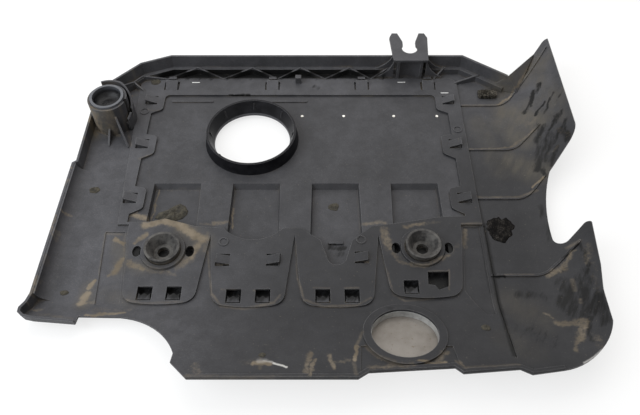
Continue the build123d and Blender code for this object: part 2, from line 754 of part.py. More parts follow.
    # Windows through the tongues, one of them broken out larger
    with BuildSketch(Plane.XY.offset(panel_top)):
        with Locations(*window_places()):
            Rectangle(window_w, window_l)
        with Locations(torn_window_xy):
            Polygon(*torn_window_points, align=None)
    extrude(amount=ledge_top, mode=Mode.SUBTRACT)

    # Raised blocks behind the rear springs, a square post on the frame and small round moulding marks
    with BuildSketch(Plane.XY.offset(ledge_top)):
        with Locations(*[(x, frame_rear_y - rear_block[1] / 2) for x in rear_spring_xs]):
            Rectangle(rear_block[0], rear_block[1])
    extrude(amount=rear_block[2])
    with BuildSketch(Plane.XY.offset(ledge_top)):
        with Locations(rear_post_xy):
            Rectangle(rear_post[0], rear_post[1])
    extrude(amount=rear_post[2])
    with BuildSketch(Plane.XY.offset(ledge_top)):
        with Locations(*mark_xys):
            Circle(mark_r)
            Circle(mark_r - mark_w, mode=Mode.SUBTRACT)
    extrude(amount=mark_h)

    # Seats of the ball sockets, with crescent windows beside them
    with BuildSketch(Plane.XY.offset(ledge_top)):
        with Locations(*socket_xys):
            Circle(seat_ring_r)
    extrude(amount=seat_ring_h, taper=seat_ring_draft)
    with BuildSketch(Plane.XY.offset(ledge_top)):
        with Locations(*socket_xys):
            Circle(socket_rim_r + socket_gap)
    extrude(amount=seat_ring_h, mode=Mode.SUBTRACT)
    with BuildSketch(Plane.XY.offset(panel_top)):
        with Locations(*socket_xys):
            Circle(socket_neck_r + socket_gap)
        for x, y in socket_xys:
            with Locations((x - ear_spread, y), (x + ear_spread, y)):
                Ellipse(ear_w / 2, ear_h / 2)
    extrude(amount=ledge_top, mode=Mode.SUBTRACT)

    # Boss of the round front opening, with a seat for the cap from outside
    with BuildSketch(ring_plane.offset(-ring_boss_down)):
        Circle(ring_r)
    extrude(amount=ring_boss_down + ring_boss_up)
    with BuildSketch(ring_plane.offset(-ring_boss_down)):
        Circle(ring_hole_r)
    extrude(amount=ring_boss_down + ring_boss_up, mode=Mode.SUBTRACT)
    with BuildSketch(ring_plane.offset(-ring_boss_down)):
        Circle(cap_inner_r + cap_wall + fit_gap)
    extrude(amount=ring_boss_down + ring_boss_up - ring_lip_t, mode=Mode.SUBTRACT)
cover_shell.part.label = "cover_shell"
export_step(cover_shell.part, "parts/cover_shell.step")

# The trim panel, snapped in from outside
with BuildPart() as insert_panel:
    with BuildSketch(Plane.XY.offset(panel_z)):
        panel_plan(frame_wall + fit_gap)
    extrude(amount=panel_t)
    for x, tip_y in zip(finger_xs, tongue_tip_ys):
        finger_tip_y = tip_y + finger_tip_margin
        with BuildSketch(Plane.XY.offset(panel_z)):
            finger_plan(x, finger_tip_y, -panel_t, -panel_t)
        with BuildSketch(Plane.XY.offset(panel_z - finger_depth)):
            finger_plan(x, finger_tip_y, finger_side_draft - panel_t, finger_end_draft - panel_t)
        loft(ruled=True)
        with BuildSketch(Plane.XY.offset(panel_top)):
            finger_plan(x, finger_tip_y, 0, 0)
        with BuildSketch(Plane.XY.offset(panel_top - finger_depth)):
            finger_plan(x, finger_tip_y, finger_side_draft, finger_end_draft)
        loft(ruled=True, mode=Mode.SUBTRACT)

    # Filler hole, pin holes and ridges
    with BuildSketch(Plane.XY.offset(panel_z)):
        with Locations(collar_xy):
            Circle(collar_hole_r + collar_wall + fit_gap)
        with Locations(*[(x, pin_y) for x in pin_xs]):
            Circle(pin_r + pin_gap)
    extrude(amount=panel_t, mode=Mode.SUBTRACT)
    with BuildSketch(Plane.XY.offset(panel_top)):
        for start_x, end_x in ridges:
            with Locations(((start_x + end_x) / 2, ridge_y)):
                SlotOverall(end_x - start_x, ridge_w)
    extrude(amount=ridge_h)

    # Forked hooks in the windows and locating keys
    with BuildSketch(Plane.XY.offset(panel_top - finger_depth)):
        for x, y in window_places():
            hook_plan(x, y)
    extrude(amount=hook_top - panel_top + finger_depth)
    with BuildSketch(Plane.XY.offset(panel_top)):
        with Locations(*key_slots):
            Rectangle(key_slot[0] - hook_gap, key_slot[1] - hook_gap / 2)
    extrude(amount=ledge_t + hook_proud)
insert_panel.part.label = "insert_panel"
export_step(insert_panel.part, "parts/insert_panel.step")

# Collar round the filler hole: outer wall and inner cone joined at the rim, with ribs inside
with BuildPart() as filler_collar:
    collar_x, collar_y = collar_xy
    collar_rim_z = panel_top + collar_h
    collar_foot_z = panel_top - collar_spigot_h
    groove_top_z = collar_rim_z - collar_groove_top
    cone_top_r = collar_rim_r - collar_rim_t
    cone_lean = (cone_top_r - collar_hole_r) / (collar_rim_z - panel_top)
    with BuildSketch(Plane(origin=(collar_x, collar_y, 0), x_dir=(1, 0, 0), z_dir=(0, -1, 0))):
        Polygon(
            (collar_hole_r, collar_foot_z), (collar_hole_r + collar_wall, collar_foot_z),
            (collar_hole_r + collar_wall, panel_top), (collar_base_r, panel_top),
            (collar_rim_r, collar_rim_z), (cone_top_r, collar_rim_z), (collar_hole_r, panel_top),
            align=None,
        )
        Polygon(
            (collar_hole_r + collar_wall + collar_groove_in, panel_top),
            (collar_base_r - collar_wall, panel_top),
            (collar_rim_r - collar_wall, groove_top_z), (cone_top_r + collar_rib_bite, groove_top_z),
            align=None, mode=Mode.SUBTRACT,
        )
    revolve(axis=Axis((collar_x, collar_y, 0), (0, 0, 1)))
    for i in range(collar_ribs):
        angle = radians(360 * i / collar_ribs)
        high = collar_rim_z - collar_rib_z
        high_r = collar_hole_r + cone_lean * (high - panel_top)
        out = (cos(angle), sin(angle), 0)
        across = (sin(angle), -cos(angle), 0)
        with BuildSketch(Plane(origin=(collar_x, collar_y, 0), x_dir=out, z_dir=across)):
            Polygon(
                (collar_rib_r, panel_top), (collar_hole_r + collar_rib_bite, panel_top),
                (high_r + collar_rib_bite, high), (high_r - collar_rib_top, high),
                align=None,
            )
        extrude(amount=collar_rib_t / 2, both=True)
filler_collar.part.label = "filler_collar"
export_step(filler_collar.part, "parts/filler_collar.step")

# Bright cap of the front opening: a shallow cup pushed in from outside
with BuildPart() as front_cap:
    cap_top = ring_boss_up - ring_lip_t
    with BuildSketch(ring_plane.offset(-ring_boss_down - cap_disc_t)):
        Circle(cap_disc_r)
    extrude(amount=cap_disc_t)
    with BuildSketch(ring_plane.offset(-ring_boss_down)):
        Circle(cap_inner_r + cap_wall)
        Circle(cap_inner_r, mode=Mode.SUBTRACT)
    extrude(amount=ring_boss_down + cap_top)
front_cap.part.label = "front_cap"
export_step(front_cap.part, "parts/front_cap.step")

# Blank badge plate on the outer face of the trim panel, with four pins
with BuildPart() as badge_plate:
    badge_x = (pin_xs[0] + pin_xs[-1]) / 2
    with BuildSketch(Plane.XY.offset(panel_z - badge_t)):
        with Locations((badge_x, pin_y)):
            RectangleRounded(badge_w, badge_l, badge_corner_r)
    extrude(amount=badge_t)
    with BuildSketch(Plane.XY.offset(panel_z)):
        with Locations(*[(x, pin_y) for x in pin_xs]):
            Circle(pin_r)
    extrude(amount=panel_t + pin_out)
badge_plate.part.label = "badge_plate"
export_step(badge_plate.part, "parts/badge_plate.step")

# Rubber cup in the tower
with BuildPart() as tower_grommet:
    cup_r = tower_r - tower_t - tower_gap
    cup_inner_r = cup_r - tower_cup_rim
    cup_floor_z = tower_floor_z + tower_cup_floor
    cup_rim_z = tower_top - tower_cup_drop
    with BuildSketch(Plane(origin=(tower_x, tower_y, 0), x_dir=(1, 0, 0), z_dir=(0, -1, 0))):
        with BuildLine():
            wall = Polyline((0, cup_floor_z), (0, tower_floor_z), (cup_r, tower_floor_z), (cup_r, cup_rim_z))
            rim = Line(wall @ 1, (cup_inner_r, cup_rim_z))
            floor = Line((tower_cup_flat_r, cup_floor_z), wall @ 0)
            TangentArc(floor @ 0, rim @ 1, tangent=(1, 0))
        make_face()
    revolve(axis=Axis((tower_x, tower_y, 0), (0, 0, 1)))
tower_grommet.part.label = "tower_grommet"
export_step(tower_grommet.part, "parts/tower_grommet.step")

# Rubber ball sockets, one shape in two places
for (socket_x, socket_y), socket_name in zip(socket_xys, socket_names):
    with BuildPart() as socket_grommet:
        with BuildSketch(Plane(origin=(socket_x, socket_y, 0), x_dir=(1, 0, 0), z_dir=(0, -1, 0))):
            Polygon(
                (ball_r, socket_foot_z), (socket_neck_r, socket_foot_z), (socket_neck_r, ledge_top),
                (socket_body_r, ledge_top), (socket_rim_r, socket_rim_z), (socket_bowl_r, socket_rim_z),
                (socket_floor_r, socket_floor_z), (ball_r, socket_floor_z),
                align=None,
            )
        revolve(axis=Axis((socket_x, socket_y, 0), (0, 0, 1)))
    socket_grommet.part.label = socket_name
    export_step(socket_grommet.part, f"parts/{socket_name}.step")

# Foam block, trimmed to the curl of the skin that it is stuck to
with BuildPart() as foam_pad:
    with BuildSketch(Plane.XY.offset(skin_top - skin_t / 2)):
        with Locations(foam_xy):
            Rectangle(foam_size[0], foam_size[1])
    extrude(amount=foam_size[2] + skin_t / 2)
    fillet(foam_pad.edges().group_by(Axis.Z)[-1], foam_edge_r)
    add(cover_shell.part, mode=Mode.SUBTRACT)
foam_pad.part.label = "foam_pad"
export_step(foam_pad.part, "parts/foam_pad.step")

# Torn remnant of a second foam block
with BuildPart() as torn_foam_pad:
    with BuildSketch(Plane.XY.offset(skin_top)):
        with Locations(torn_foam_xy):
            Polygon(*torn_foam_points, align=None)
    extrude(amount=torn_foam_t, taper=torn_foam_draft)
    add(cover_shell.part, mode=Mode.SUBTRACT)
torn_foam_pad.part.label = "torn_foam_pad"
export_step(torn_foam_pad.part, "parts/torn_foam_pad.step")
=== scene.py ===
import math
import random

import bmesh
import bpy
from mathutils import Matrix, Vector, noise


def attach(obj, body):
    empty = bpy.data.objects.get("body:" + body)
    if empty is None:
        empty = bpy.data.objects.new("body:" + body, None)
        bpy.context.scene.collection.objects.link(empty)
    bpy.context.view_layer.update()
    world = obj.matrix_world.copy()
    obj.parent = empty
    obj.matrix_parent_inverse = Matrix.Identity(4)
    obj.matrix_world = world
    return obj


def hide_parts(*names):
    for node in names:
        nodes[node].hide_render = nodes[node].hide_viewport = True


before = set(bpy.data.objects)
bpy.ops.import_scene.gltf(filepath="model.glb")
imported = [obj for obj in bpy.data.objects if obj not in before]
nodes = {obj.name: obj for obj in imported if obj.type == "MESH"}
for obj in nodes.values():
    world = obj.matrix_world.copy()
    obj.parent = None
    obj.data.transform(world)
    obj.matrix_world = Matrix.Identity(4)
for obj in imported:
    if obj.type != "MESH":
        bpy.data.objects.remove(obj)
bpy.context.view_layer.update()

# Places and sizes below are in millimetres in the part's own frame
MM = 0.001

# The photograph's camera
CAMERA_AT = (0.0, -436.7, 557.0)
CAMERA_PITCH = 53.0
CAMERA_FOCAL_PX = 650.0
FRAME_WIDTH_PX = 640.0
SENSOR_WIDTH = 36.0

# Heights and bends of the cover's inner face, as the part's source has them
SKIN_TOP = 8.5
LEDGE_TOP = 11.0
FINGER_FLOOR = 2.5
KEY_FOOT = 11.2
BEND_Y = -132.0
BEND_R = 40.0
BEND_ANGLE = 20.0
CURL_X = 205.0
CURL_R = 84.0

# Plane of the front cap's rim, and how far below it the disc lies
CAP_AT = (76.5, -175.5, 21.77)
CAP_DISC_DROP = 6.8

# Heights between which the tower's rubber cup turns from black to a pale bluish grey painted at its rim as
# sheen
CUP_RIM = (42.5, 48.2)

# Light: how much of its own white the table shows, how far it reaches in metres, its tones, and the sky
FLOOR_GLOW = 0.70
FLOOR_REACH = 6.0
FLOOR_WHITE = (0.90, 0.90, 0.90, 1.0)
FLOOR_WHITE_PALE = (0.93, 0.93, 0.93, 1.0)
FLOOR_GRAIN = 3.0
PLAIN_WHITE = (1.0, 1.0, 1.0, 1.0)
SKY_COLOUR = (1.0, 0.98, 0.95, 1.0)
SKY_STRENGTH = 0.55

# Lamps: place and target in metres, size, power and colour
WINDOW_LAMP = ((-1.05, -0.45, 0.95), (0.0, 0.0, 0.0), 1.3, 19.0, (0.90, 0.95, 1.0))
CEILING_LAMP = ((-0.05, 0.80, 1.30), (0.0, 0.05, 0.0), 1.6, 15.0, (1.0, 0.98, 0.95))

# Linear base colours
PLASTIC_BLACK = (0.014, 0.014, 0.015, 1.0)
FILM_GREY = (0.083, 0.083, 0.090, 1.0)
# Paler film tone, also the painted highlight on the collar's edges
FILM_AND_HIGHLIGHT_PALE = (0.112, 0.111, 0.119, 1.0)
COLLAR_BLACK = (0.004, 0.004, 0.005, 1.0)
COLLAR_GREY = (0.011, 0.011, 0.013, 1.0)
DUST = (0.132, 0.107, 0.076, 1.0)
DUST_PALE = (0.212, 0.176, 0.131, 1.0)
WASH = (0.094, 0.083, 0.064, 1.0)
CLAY = (0.105, 0.078, 0.050, 1.0)
# Black of soot, and of painted shade in holes, grooves and under ribs
SOOT_AND_SHADE_BLACK = (0.005, 0.005, 0.005, 1.0)
RUBBER_BLACK = (0.004, 0.004, 0.005, 1.0)
RUBBER_WORN = (0.013, 0.013, 0.014, 1.0)
# Pale bluish grey painted on the cup's rim as sheen
RUBBER_RIM_SHEEN = (0.098, 0.102, 0.113, 1.0)
RUBBER = (0.022, 0.021, 0.021, 1.0)
RUBBER_PALE = (0.092, 0.088, 0.083, 1.0)
SILVER = (0.42, 0.42, 0.41, 1.0)
SILVER_DULL = (0.24, 0.24, 0.235, 1.0)
PIN_BRIGHT = (0.80, 0.78, 0.73, 1.0)
PIN_DULL = (0.50, 0.48, 0.44, 1.0)
CAP_GREY = (0.130, 0.115, 0.099, 1.0)
CAP_PALE = (0.200, 0.184, 0.166, 1.0)
# Pale of edges: wear, and a painted highlight on them
EDGE_WEAR_AND_HIGHLIGHT = (0.200, 0.198, 0.200, 1.0)
KEY_WHITE = (0.60, 0.60, 0.60, 1.0)
# White of scuffs, and of the painted highlight on the wing's front edge
SCRATCH_AND_GLINT_WHITE = (0.48, 0.47, 0.45, 1.0)
FOAM_BROWN = (0.034, 0.030, 0.023, 1.0)
FOAM_BROWN_PALE = (0.175, 0.158, 0.132, 1.0)
FOAM_DARK = (0.009, 0.008, 0.008, 1.0)
FOAM_DARK_PALE = (0.048, 0.043, 0.038, 1.0)
RESIDUE_DARK = (0.016, 0.014, 0.010, 1.0)
RESIDUE_PALE = (0.060, 0.053, 0.038, 1.0)

# Specular level of plastics, foam and rubber, and how metallic the bright pieces are
PLASTIC_SHINE = 0.12
FOAM_SHINE = 0.05
RUBBER_SHINE = 0.22
PIN_METAL = 0.30
CAP_METAL = 0.40

# Scale of each noise on the dirty plastics, in cycles per metre
FADE_GRAIN = 9.0
MOTTLE_GRAIN = 60.0
FINE_GRAIN = 900.0
PORE_GRAIN = 420.0
WEAR_AND_HIGHLIGHT_GRAIN = 35.0
SMEAR_GRAIN = 70.0
TRACE_GRAIN = 150.0
SCUFF_AND_GLINT_GRAIN = 160.0
STREAK_GRAIN = 80.0
WIPE_GRAIN = 190.0
CORNER_GRAIN = 28.0
DUST_GRAIN = 300.0
LINE_GRAIN = 130.0
TONE_GRAIN = 45.0
SPECK_GRAIN = 620.0

# Scale of each noise on the other materials
COLLAR_GRAIN = 80.0
COLLAR_DUST_GRAIN = 40.0
COLLAR_PORE_GRAIN = 700.0
RUBBER_GRAIN = 95.0
RUBBER_DUST_GRAIN = 60.0
RUBBER_PORE_GRAIN = 500.0
TRIM_GRAIN = 70.0
TRIM_PORE_GRAIN = 1200.0
DISC_GRAIN = 26.0
DISC_SPECK_GRAIN = 420.0
MUD_TONE_GRAIN = 190.0
MUD_PORE_GRAIN = 700.0
FOAM_TONE_GRAIN = 120.0
FOAM_CELL_GRAIN = 700.0

# How far noise shifts smears, thin lines, and the scuffs and painted highlight
SMEAR_SHIFT = 5.0
TRACE_SHIFT = 1.0
SCUFF_AND_GLINT_SHIFT = 1.5

# How near a wall has to be to make a dusty corner, and radius of edges paled as wear and painted highlight
CORNER_REACH = 7.0
COLLAR_CORNER_REACH = 6.0
COLLAR_OPEN_REACH = 5.0
RUBBER_CORNER_REACH = 10.0
WEAR_AND_HIGHLIGHT_RADIUS = 1.2
COLLAR_WEAR_AND_HIGHLIGHT_RADIUS = 0.8

# Dust patches, and streaks of soot and painted shade: spread of their grain, where they begin and are
# whole, most opacity
PATCH_SPREAD = 1.7
PATCH_EDGES = (0.15, 0.95)
PATCH_MOST = 0.86
SOOT_AND_SHADE_SPREAD = 2.2
SOOT_AND_SHADE_EDGES = (0.15, 0.92)
SOOT_AND_SHADE_MOST = 0.95

# Thin film on the plastics, partly painted light falling from the left and the rear: its share at the left,
# at the right and at the rear, and where it changes
FILM_AND_LIGHT_X = (-220.0, 40.0)
FILM_AND_LIGHT_REAR_Y = (-40.0, 165.0)
FILM_AND_LIGHT_ON_WALLS = 0.74
COVER_FILM_AND_LIGHT = (0.94, 0.24, 0.92)
PANEL_FILM_AND_LIGHT = (0.68, 0.62, 0.66)

# Streaks of washes and wiped places: direction in degrees and how far drawn out; shares of washes and lines
STREAK_TURN = 62.0
STREAK_STRETCH = 3.5
WIPE_STRETCH = 6.0
WASH_SHARE = 0.85
LINE_SHARE = 0.45

# Smears of dust on the cover moulding: two ends of a stroke, half its width, and how thick it lies
COVER_DUST = [
    (-273, 103, -257, 81, 5, 0.75), (-258, 87, -247, 84, 2.9, 0.80),
    (-243, 83, -230, 80, 3.3, 0.60), (-271, 70, -263, 63, 3.8, 0.55),
    (-271, 21, -268, 19, 2.1, 0.55), (-271, -4, -268, 4, 2.7, 0.60),
    (-251, 178, -239, 173, 4.6, 0.65), (-229, 146, -223, 148, 2.5, 0.50),
    (-267, -35, -259, -35, 2.5, 0.65), (-271, -43, -268, -67, 2.5, 0.60),
    (-265, -59, -266, -69, 3.3, 0.50), (-270, -116, -271, -136, 3.3, 0.65),
    (-272, -144, -263, -146, 2.5, 0.60), (-272, -48, -237, -58, 3.3, 0.22),
    (-219, -113, -224, -121, 3.3, 0.95), (-223, -127, -228, -138, 4.6, 0.90),
    (-226, -138, -216, -136, 2.9, 0.60), (-217, -152, -184, -150, 2.5, 0.80),
    (-264, -151, -229, -158, 2.5, 0.45), (-213, -146, -179, -146, 5, 0.40),
    (-210, -64, -199, -68, 3.3, 0.90), (-197, -89, -201, -102, 4.2, 0.90),
    (-201, -102, -207, -106, 2.9, 0.70), (-194, -106, -198, -119, 6.2, 0.30),
    (-187, -71, -178, -60, 3.3, 0.80), (-175, -100, -142, -107, 3.8, 0.55),
    (-180, -48, -162, -42, 7, 0.95), (-162, -42, -143, -48, 7.5, 0.95),
    (-142, -49, -129, -61, 8, 0.95), (-129, -59, -118, -66, 7, 0.90),
    (-123, -71, -127, -88, 6.5, 0.80), (-128, -88, -139, -98, 7, 0.65),
    (-188, -94, -175, -100, 6, 0.75), (66, -54, 69, -77, 6.2, 0.65),
    (69, -77, 79, -90, 4.2, 0.55), (87, -51, 107, -45, 3.3, 0.70),
    (107, -45, 124, -44, 3.3, 0.45), (79, -92, 102, -99, 3.3, 0.60),
    (102, -99, 128, -85, 3.8, 0.60), (130, -85, 139, -73, 3.8, 0.40),
    (150, -52, 146, -72, 4, 0.60), (-106, -212, -102, -220, 5.4, 0.50),
    (-67, -209, -53, -206, 5.4, 0.40), (-57, -209, -42, -208, 3.1, 0.95),
    (-9, -198, -12, -218, 3.8, 0.70), (-5, -205, -8, -221, 2.9, 0.70),
    (8, -201, 12, -214, 3.5, 0.70), (12, -207, 25, -207, 2.9, 0.50),
    (-50, -187, -44, -193, 2.5, 0.30), (-39, -224, 25, -223, 2.5, 0.35),
    (32, -189, 29, -207, 2.3, 0.90), (21, -205, 27, -207, 3.3, 0.40),
    (44, -214, 79, -211, 4.6, 0.60), (84, -208, 108, -207, 2.5, 0.85),
    (98, -207, 112, -197, 3.8, 0.60), (117, -207, 123, -214, 2.5, 0.60),
    (214, 130, 229, 141, 2.9, 0.85), (229, 141, 248, 167, 2.9, 0.70),
    (248, 167, 261, 187, 2.5, 0.60), (170, 58, 219, 62, 2.5, 0.65),
    (219, 62, 243, 80, 3.3, 0.60), (235, 89, 249, 96, 5.4, 0.45),
    (228, 2, 240, 10, 2.5, 0.90), (264, 66, 271, 49, 4.6, 0.35),
    (252, 40, 263, 47, 3.3, 0.40), (223, -108, 236, -102, 4.6, 0.68),
    (236, -102, 249, -87, 3.2, 0.68), (261, -85, 257, -102, 5.4, 0.50),
    (261, -106, 258, -134, 3.8, 0.32), (219, -164, 238, -165, 6, 0.70),
    (237, -167, 229, -185, 6, 0.72), (229, -185, 222, -196, 3.4, 0.62),
    (209, -150, 216, -157, 2.7, 0.65), (243, -184, 241, -193, 5.4, 0.45),
]

# Broad, faint washes of dust
COVER_WASH = [
    (214, 150, 262, 178, 15, 0.75), (218, 118, 246, 92, 17, 0.80),
    (212, 100, 232, 70, 16, 0.60), (212, 40, 236, 20, 16, 0.60),
    (186, 100, 200, 30, 14, 0.40), (262, 150, 270, 100, 9, 0.45),
    (215, 116, 249, 121, 12.5, 0.40), (237, 156, 264, 165, 10.4, 0.40),
    (260, 123, 276, 114, 8.3, 0.40), (265, 96, 273, 76, 7.5, 0.32),
    (216, 30, 229, 16, 11.5, 0.30), (181, -138, 203, -159, 17.7, 0.30),
    (169, -183, 183, -194, 15.6, 0.20), (-206, -128, -179, -136, 8.3, 0.30),
    (-268, 110, -258, 80, 8, 0.80), (-250, 86, -236, 80, 6, 0.60),
    (-204, -70, -198, -100, 9, 0.55), (-222, -118, -226, -138, 8, 0.55),
    (-140, -50, -120, -70, 14, 0.60), (-130, -84, -178, -100, 9, 0.45),
]

# Thin lines of dust along ribs, lips and the edges of tongues and windows
COVER_LINES = [
    (-232, 181, -228, 195, 1.9, 0.60), (-232, 178, -219, 155, 1.9, 0.45),
    (-226, 96, -214, 62, 1.8, 0.50), (-268, -91, -267, -100, 1.9, 0.55),
    (-201, 43, -185, 50, 2.1, 0.75), (-204, 120, -185, 118, 1.2, 0.40),
    (-219, -56, -198, -58, 1.9, 0.75), (-200, -60, -195, -88, 1.7, 0.70),
    (-220, -58, -217, -106, 1, 0.55), (-115, -58, -116, -79, 2.1, 0.80),
    (-113, -79, -104, -128, 1.2, 0.80), (-104, -128, -94, -141, 1.5, 0.85),
    (-94, -141, -71, -145, 1.7, 0.85), (-71, -145, -44, -138, 1.7, 0.75),
    (-44, -138, -38, -130, 1.2, 0.50), (-184, -135, -169, -139, 1.2, 0.60),
    (-169, -139, -131, -137, 1.5, 0.50), (-95, -124, -80, -124, 1, 0.55),
    (-80, -125, -81, -138, 0.8, 0.55), (-64, -125, -50, -125, 1, 0.55),
    (-25, -69, -22, -110, 1, 0.55), (-22, -110, -15, -135, 1.2, 0.75),
    (-15, -135, 3, -142, 1.5, 0.75), (3, -142, 35, -141, 1.5, 0.70),
    (35, -141, 48, -133, 1.2, 0.50), (65, -100, 70, -128, 1, 0.65),
    (70, -128, 81, -135, 1.2, 0.55), (81, -135, 108, -133, 1.2, 0.40),
    (9, -69, 24, -69, 1.9, 0.75), (-6, -122, 9, -122, 1, 0.55),
    (24, -122, 37, -122, 1, 0.55), (82, -117, 97, -117, 1, 0.55),
    (127, -102, 124, -124, 1, 0.70), (106, -103, 126, -103, 0.8, 0.50),
    (147, -47, 166, -46, 2, 0.80), (-113, -223, -69, -225, 1.9, 0.60),
    (-69, -225, -39, -224, 1.9, 0.50), (-51, -204, -51, -214, 2.1, 0.90),
    (38, -174, 32, -189, 1.7, 0.80), (29, -207, 30, -221, 1.9, 0.90),
    (40, -190, 50, -202, 1.7, 0.75), (50, -202, 64, -208, 1.9, 0.70),
    (123, -214, 169, -211, 1.7, 0.65), (171, 128, 214, 130, 2.1, 0.80),
    (169, -10, 212, -10, 1.9, 0.90), (212, -10, 232, -4, 1.9, 0.90),
    (181, -106, 209, -106, 1.2, 0.60), (245, -81, 256, -78, 2.1, 0.85),
    (242, -117, 242, -128, 2.1, 0.85), (244, -139, 243, -143, 1.5, 0.85),
    (121, -214, 166, -211, 1.7, 0.55),
]

# Darker strokes where grease and soot lie, and where the wing was wiped to bare black; some are painted
# shade: a rib's shadow, the socket holes and the channel floor
COVER_SOOT_AND_SHADE = [
    (98, -146, 60, -148, 5, 0.30), (-6, 160, -1, 158, 4, 0.45),
    (187, -127, 211, -130, 5.4, 0.40), (187, -173, 207, -183, 12.5, 0.30),
    (172, -108, 181, -108, 1.9, 1.00), (-170, 175, 80, 175, 3.5, 0.55),
    (-110, 146, -86, 146, 1.6, 0.85), (-158, -80, -156, -80, 8, 1.00),
    (102, -76, 104, -76, 8, 1.00), (261, 144, 239, 111, 3.1, 0.90),
    (253, 138, 246, 116, 2.2, 0.90), (261, 114, 250, 102, 1.9, 0.90),
    (269, 121, 257, 97, 1.6, 0.70), (269, 88, 258, 71, 2.8, 0.80),
    (272, 76, 258, 52, 2.8, 0.70), (251, 84, 238, 23, 5.3, 0.72),
    (257, 64, 247, 34, 6.9, 0.66), (267, 63, 268, 47, 4.4, 0.70),
    (239, 28, 243, 14, 2.5, 0.80), (260, 44, 250, 25, 3.8, 0.70),
    (270, 106, 276, 115, 1.2, 0.50), (238, -91, 253, -81, 1.9, 0.85),
    (236, -118, 236, -150, 8.5, 0.80), (251, -114, 248, -154, 9.0, 0.75),
    (256, -139, 254, -169, 7.5, 0.66), (224, -110, 237, -103, 3.1, 0.55),
    (228, -136, 238, -157, 9.0, 0.68), (243, -161, 237, -187, 3.1, 0.70),
    (255, -82, 258, -107, 2.8, 0.60), (267, -109, 264, -137, 2.5, 0.50),
    (231, -25, 232, -68, 3.8, 0.45),
]

# Painted shade: dark lines along the grooves and the low step of the skin
COVER_GROOVE_SHADE = [
    (168, 0, 170, -45, 1.2, 0.50), (170, -45, 170, -112, 2.6, 0.90), (170, -112, 170, -149, 2.6, 0.90),
    (170, -149, 168, -200, 2.4, 0.85), (164.5, -48, 164, -126, 1.6, 0.35),
]

# Painted shade: black on the floor of the channel in front of the rear skirt, below this height
CHANNEL_PAINTED_SHADE = [(-196, 182, 70, 182, 8, 1.00)]
CHANNEL_TOP = 16.3

# Smears on the insert panel
PANEL_DUST = [
    (-111, -44, -96, -42, 3.3, 0.65), (-92, -20, -92, -47, 1.7, 0.75),
    (-176, 4, -177, -36, 1.7, 0.70), (-204, -36, -192, -28, 2.9, 0.80),
    (-125, -44, -114, -46, 2.9, 0.50), (45, -44, 68, -42, 2.9, 0.65),
    (41, -38, 42, -47, 1.7, 0.40), (-172, 5, -130, 5, 3, 0.35),
    (-194, -32, -182, -38, 5, 0.85), (126, -30, 128, -37, 6, 0.30),
    (-190, 36, -186, 10, 3, 0.30), (-70, 17, -50, 20, 3, 0.25),
    (-92, 0, -92, -20, 1.7, 0.40),
]
# Painted shade on the insert panel: black in the socket holes and ears, below the bar at the third finger's
# end, and where the cover's windows open onto it
PANEL_PAINTED_SHADE = [
    (-158, -80, -156, -80, 8, 1.0),
    (102, -76, 104, -76, 8, 1.0),
    (9, -71, 24, -71, 4, 0.80),
    (10, -78, 23, -78, 6, 0.45),
    (-172, -125, -136, -125, 9, 1.0),
    (-86, -128, -51, -128, 9, 1.0),
    (-1, -128, 34, -128, 9, 1.0),
    (85, -118, 92, -118, 9, 1.0),
    (108, -110, 122, -110, 16, 1.0),
    (-186, -82, -185, -76, 9, 1.0),
    (-131, -82, -130, -78, 6, 1.0),
    (76, -78, 77, -70, 8, 1.0),
    (129, -78, 130, -74, 6, 1.0),
]

# White scuffs on the sloping front; along the wing's front edge the white is a painted highlight
SCUFFS_AND_GLINT = [
    (-53, -207, -46, -206, 2.4, 0.24),
    (-48, -206, -41, -208, 1.3, 0.38),
    (-40, -209, -28, -213, 0.9, 0.90),
    (225, -210, 238, -202, 1.2, 0.50),
    (238, -202, 249, -194, 1.2, 0.50),
]

# Foam block by the rear right corner: middle, half size, how much its skin, edges and corners have crumbled
FOAM_AT = (202.0, 146.0)
FOAM_HALF = (11.8, 5.8, 3.3)
FOAM_CUTS = 9
FOAM_CRUMBLE = 0.16
FOAM_EDGE_WEAR = 0.35
FOAM_CORNER_WEAR = 0.45
FOAM_ROUGH = 0.33
FOAM_FRACTAL = (0.8, 2.1, 4)

# Torn foam on the right: its outline, and the line along its front left side where it is still thick
TORN_OUTLINE = [
    (170, -49.3), (171.2, -39.3), (180.2, -32.8), (186.8, -32.3), (189.7, -36.1), (195.6, -33.2),
    (200, -39.3), (204.6, -46), (200.1, -53.7), (198.8, -59), (193.3, -65.6), (188.2, -73.5),
    (183.5, -70.4), (175.1, -68.3), (170.6, -60.1),
]
TORN_THICK = 4.6
TORN_EDGE = ((173.0, -50.0), (187.0, -67.0))
TORN_EDGE_W = 9.0
TORN_THIN = 0.22
TORN_RAGGED = 0.30
TORN_ROUGH = 0.16
RAGGED_TURNS = 3.4

# Crumbs of dried mud: name, place, half sizes, thickness, and their floor where it isn't the skin
LUMPS = [
    ("residue_left_tray", -243.0, 0.0, 7.5, 5.5, 1.8, None),
    ("residue_finger_b", 15.0, -18.0, 7.0, 6.0, 1.8, FINGER_FLOOR),
    ("residue_left_front", -246.0, -126.0, 5.0, 3.5, 1.2, None),
    ("residue_front_right", 151.0, -168.0, 5.5, 4.5, 2.0, None),
    ("residue_front", -50.0, -200.0, 4.0, 3.0, 1.0, None),
    ("residue_rear_left", -202.0, 169.0, 7.5, 7.0, 1.6, LEDGE_TOP),
]
MUD_OUTLINE = [
    (-175, -33), (-171, -26), (-162, -22), (-156, -17), (-150, -14), (-144, -17),
    (-140, -24), (-141, -29), (-145, -34), (-152, -37), (-162, -37), (-170, -35),
]
MUD_THICK = 3.6
MUD_ROUGH = 0.22
LUMP_ROUGH = 0.35
LUMP_SEED = 7

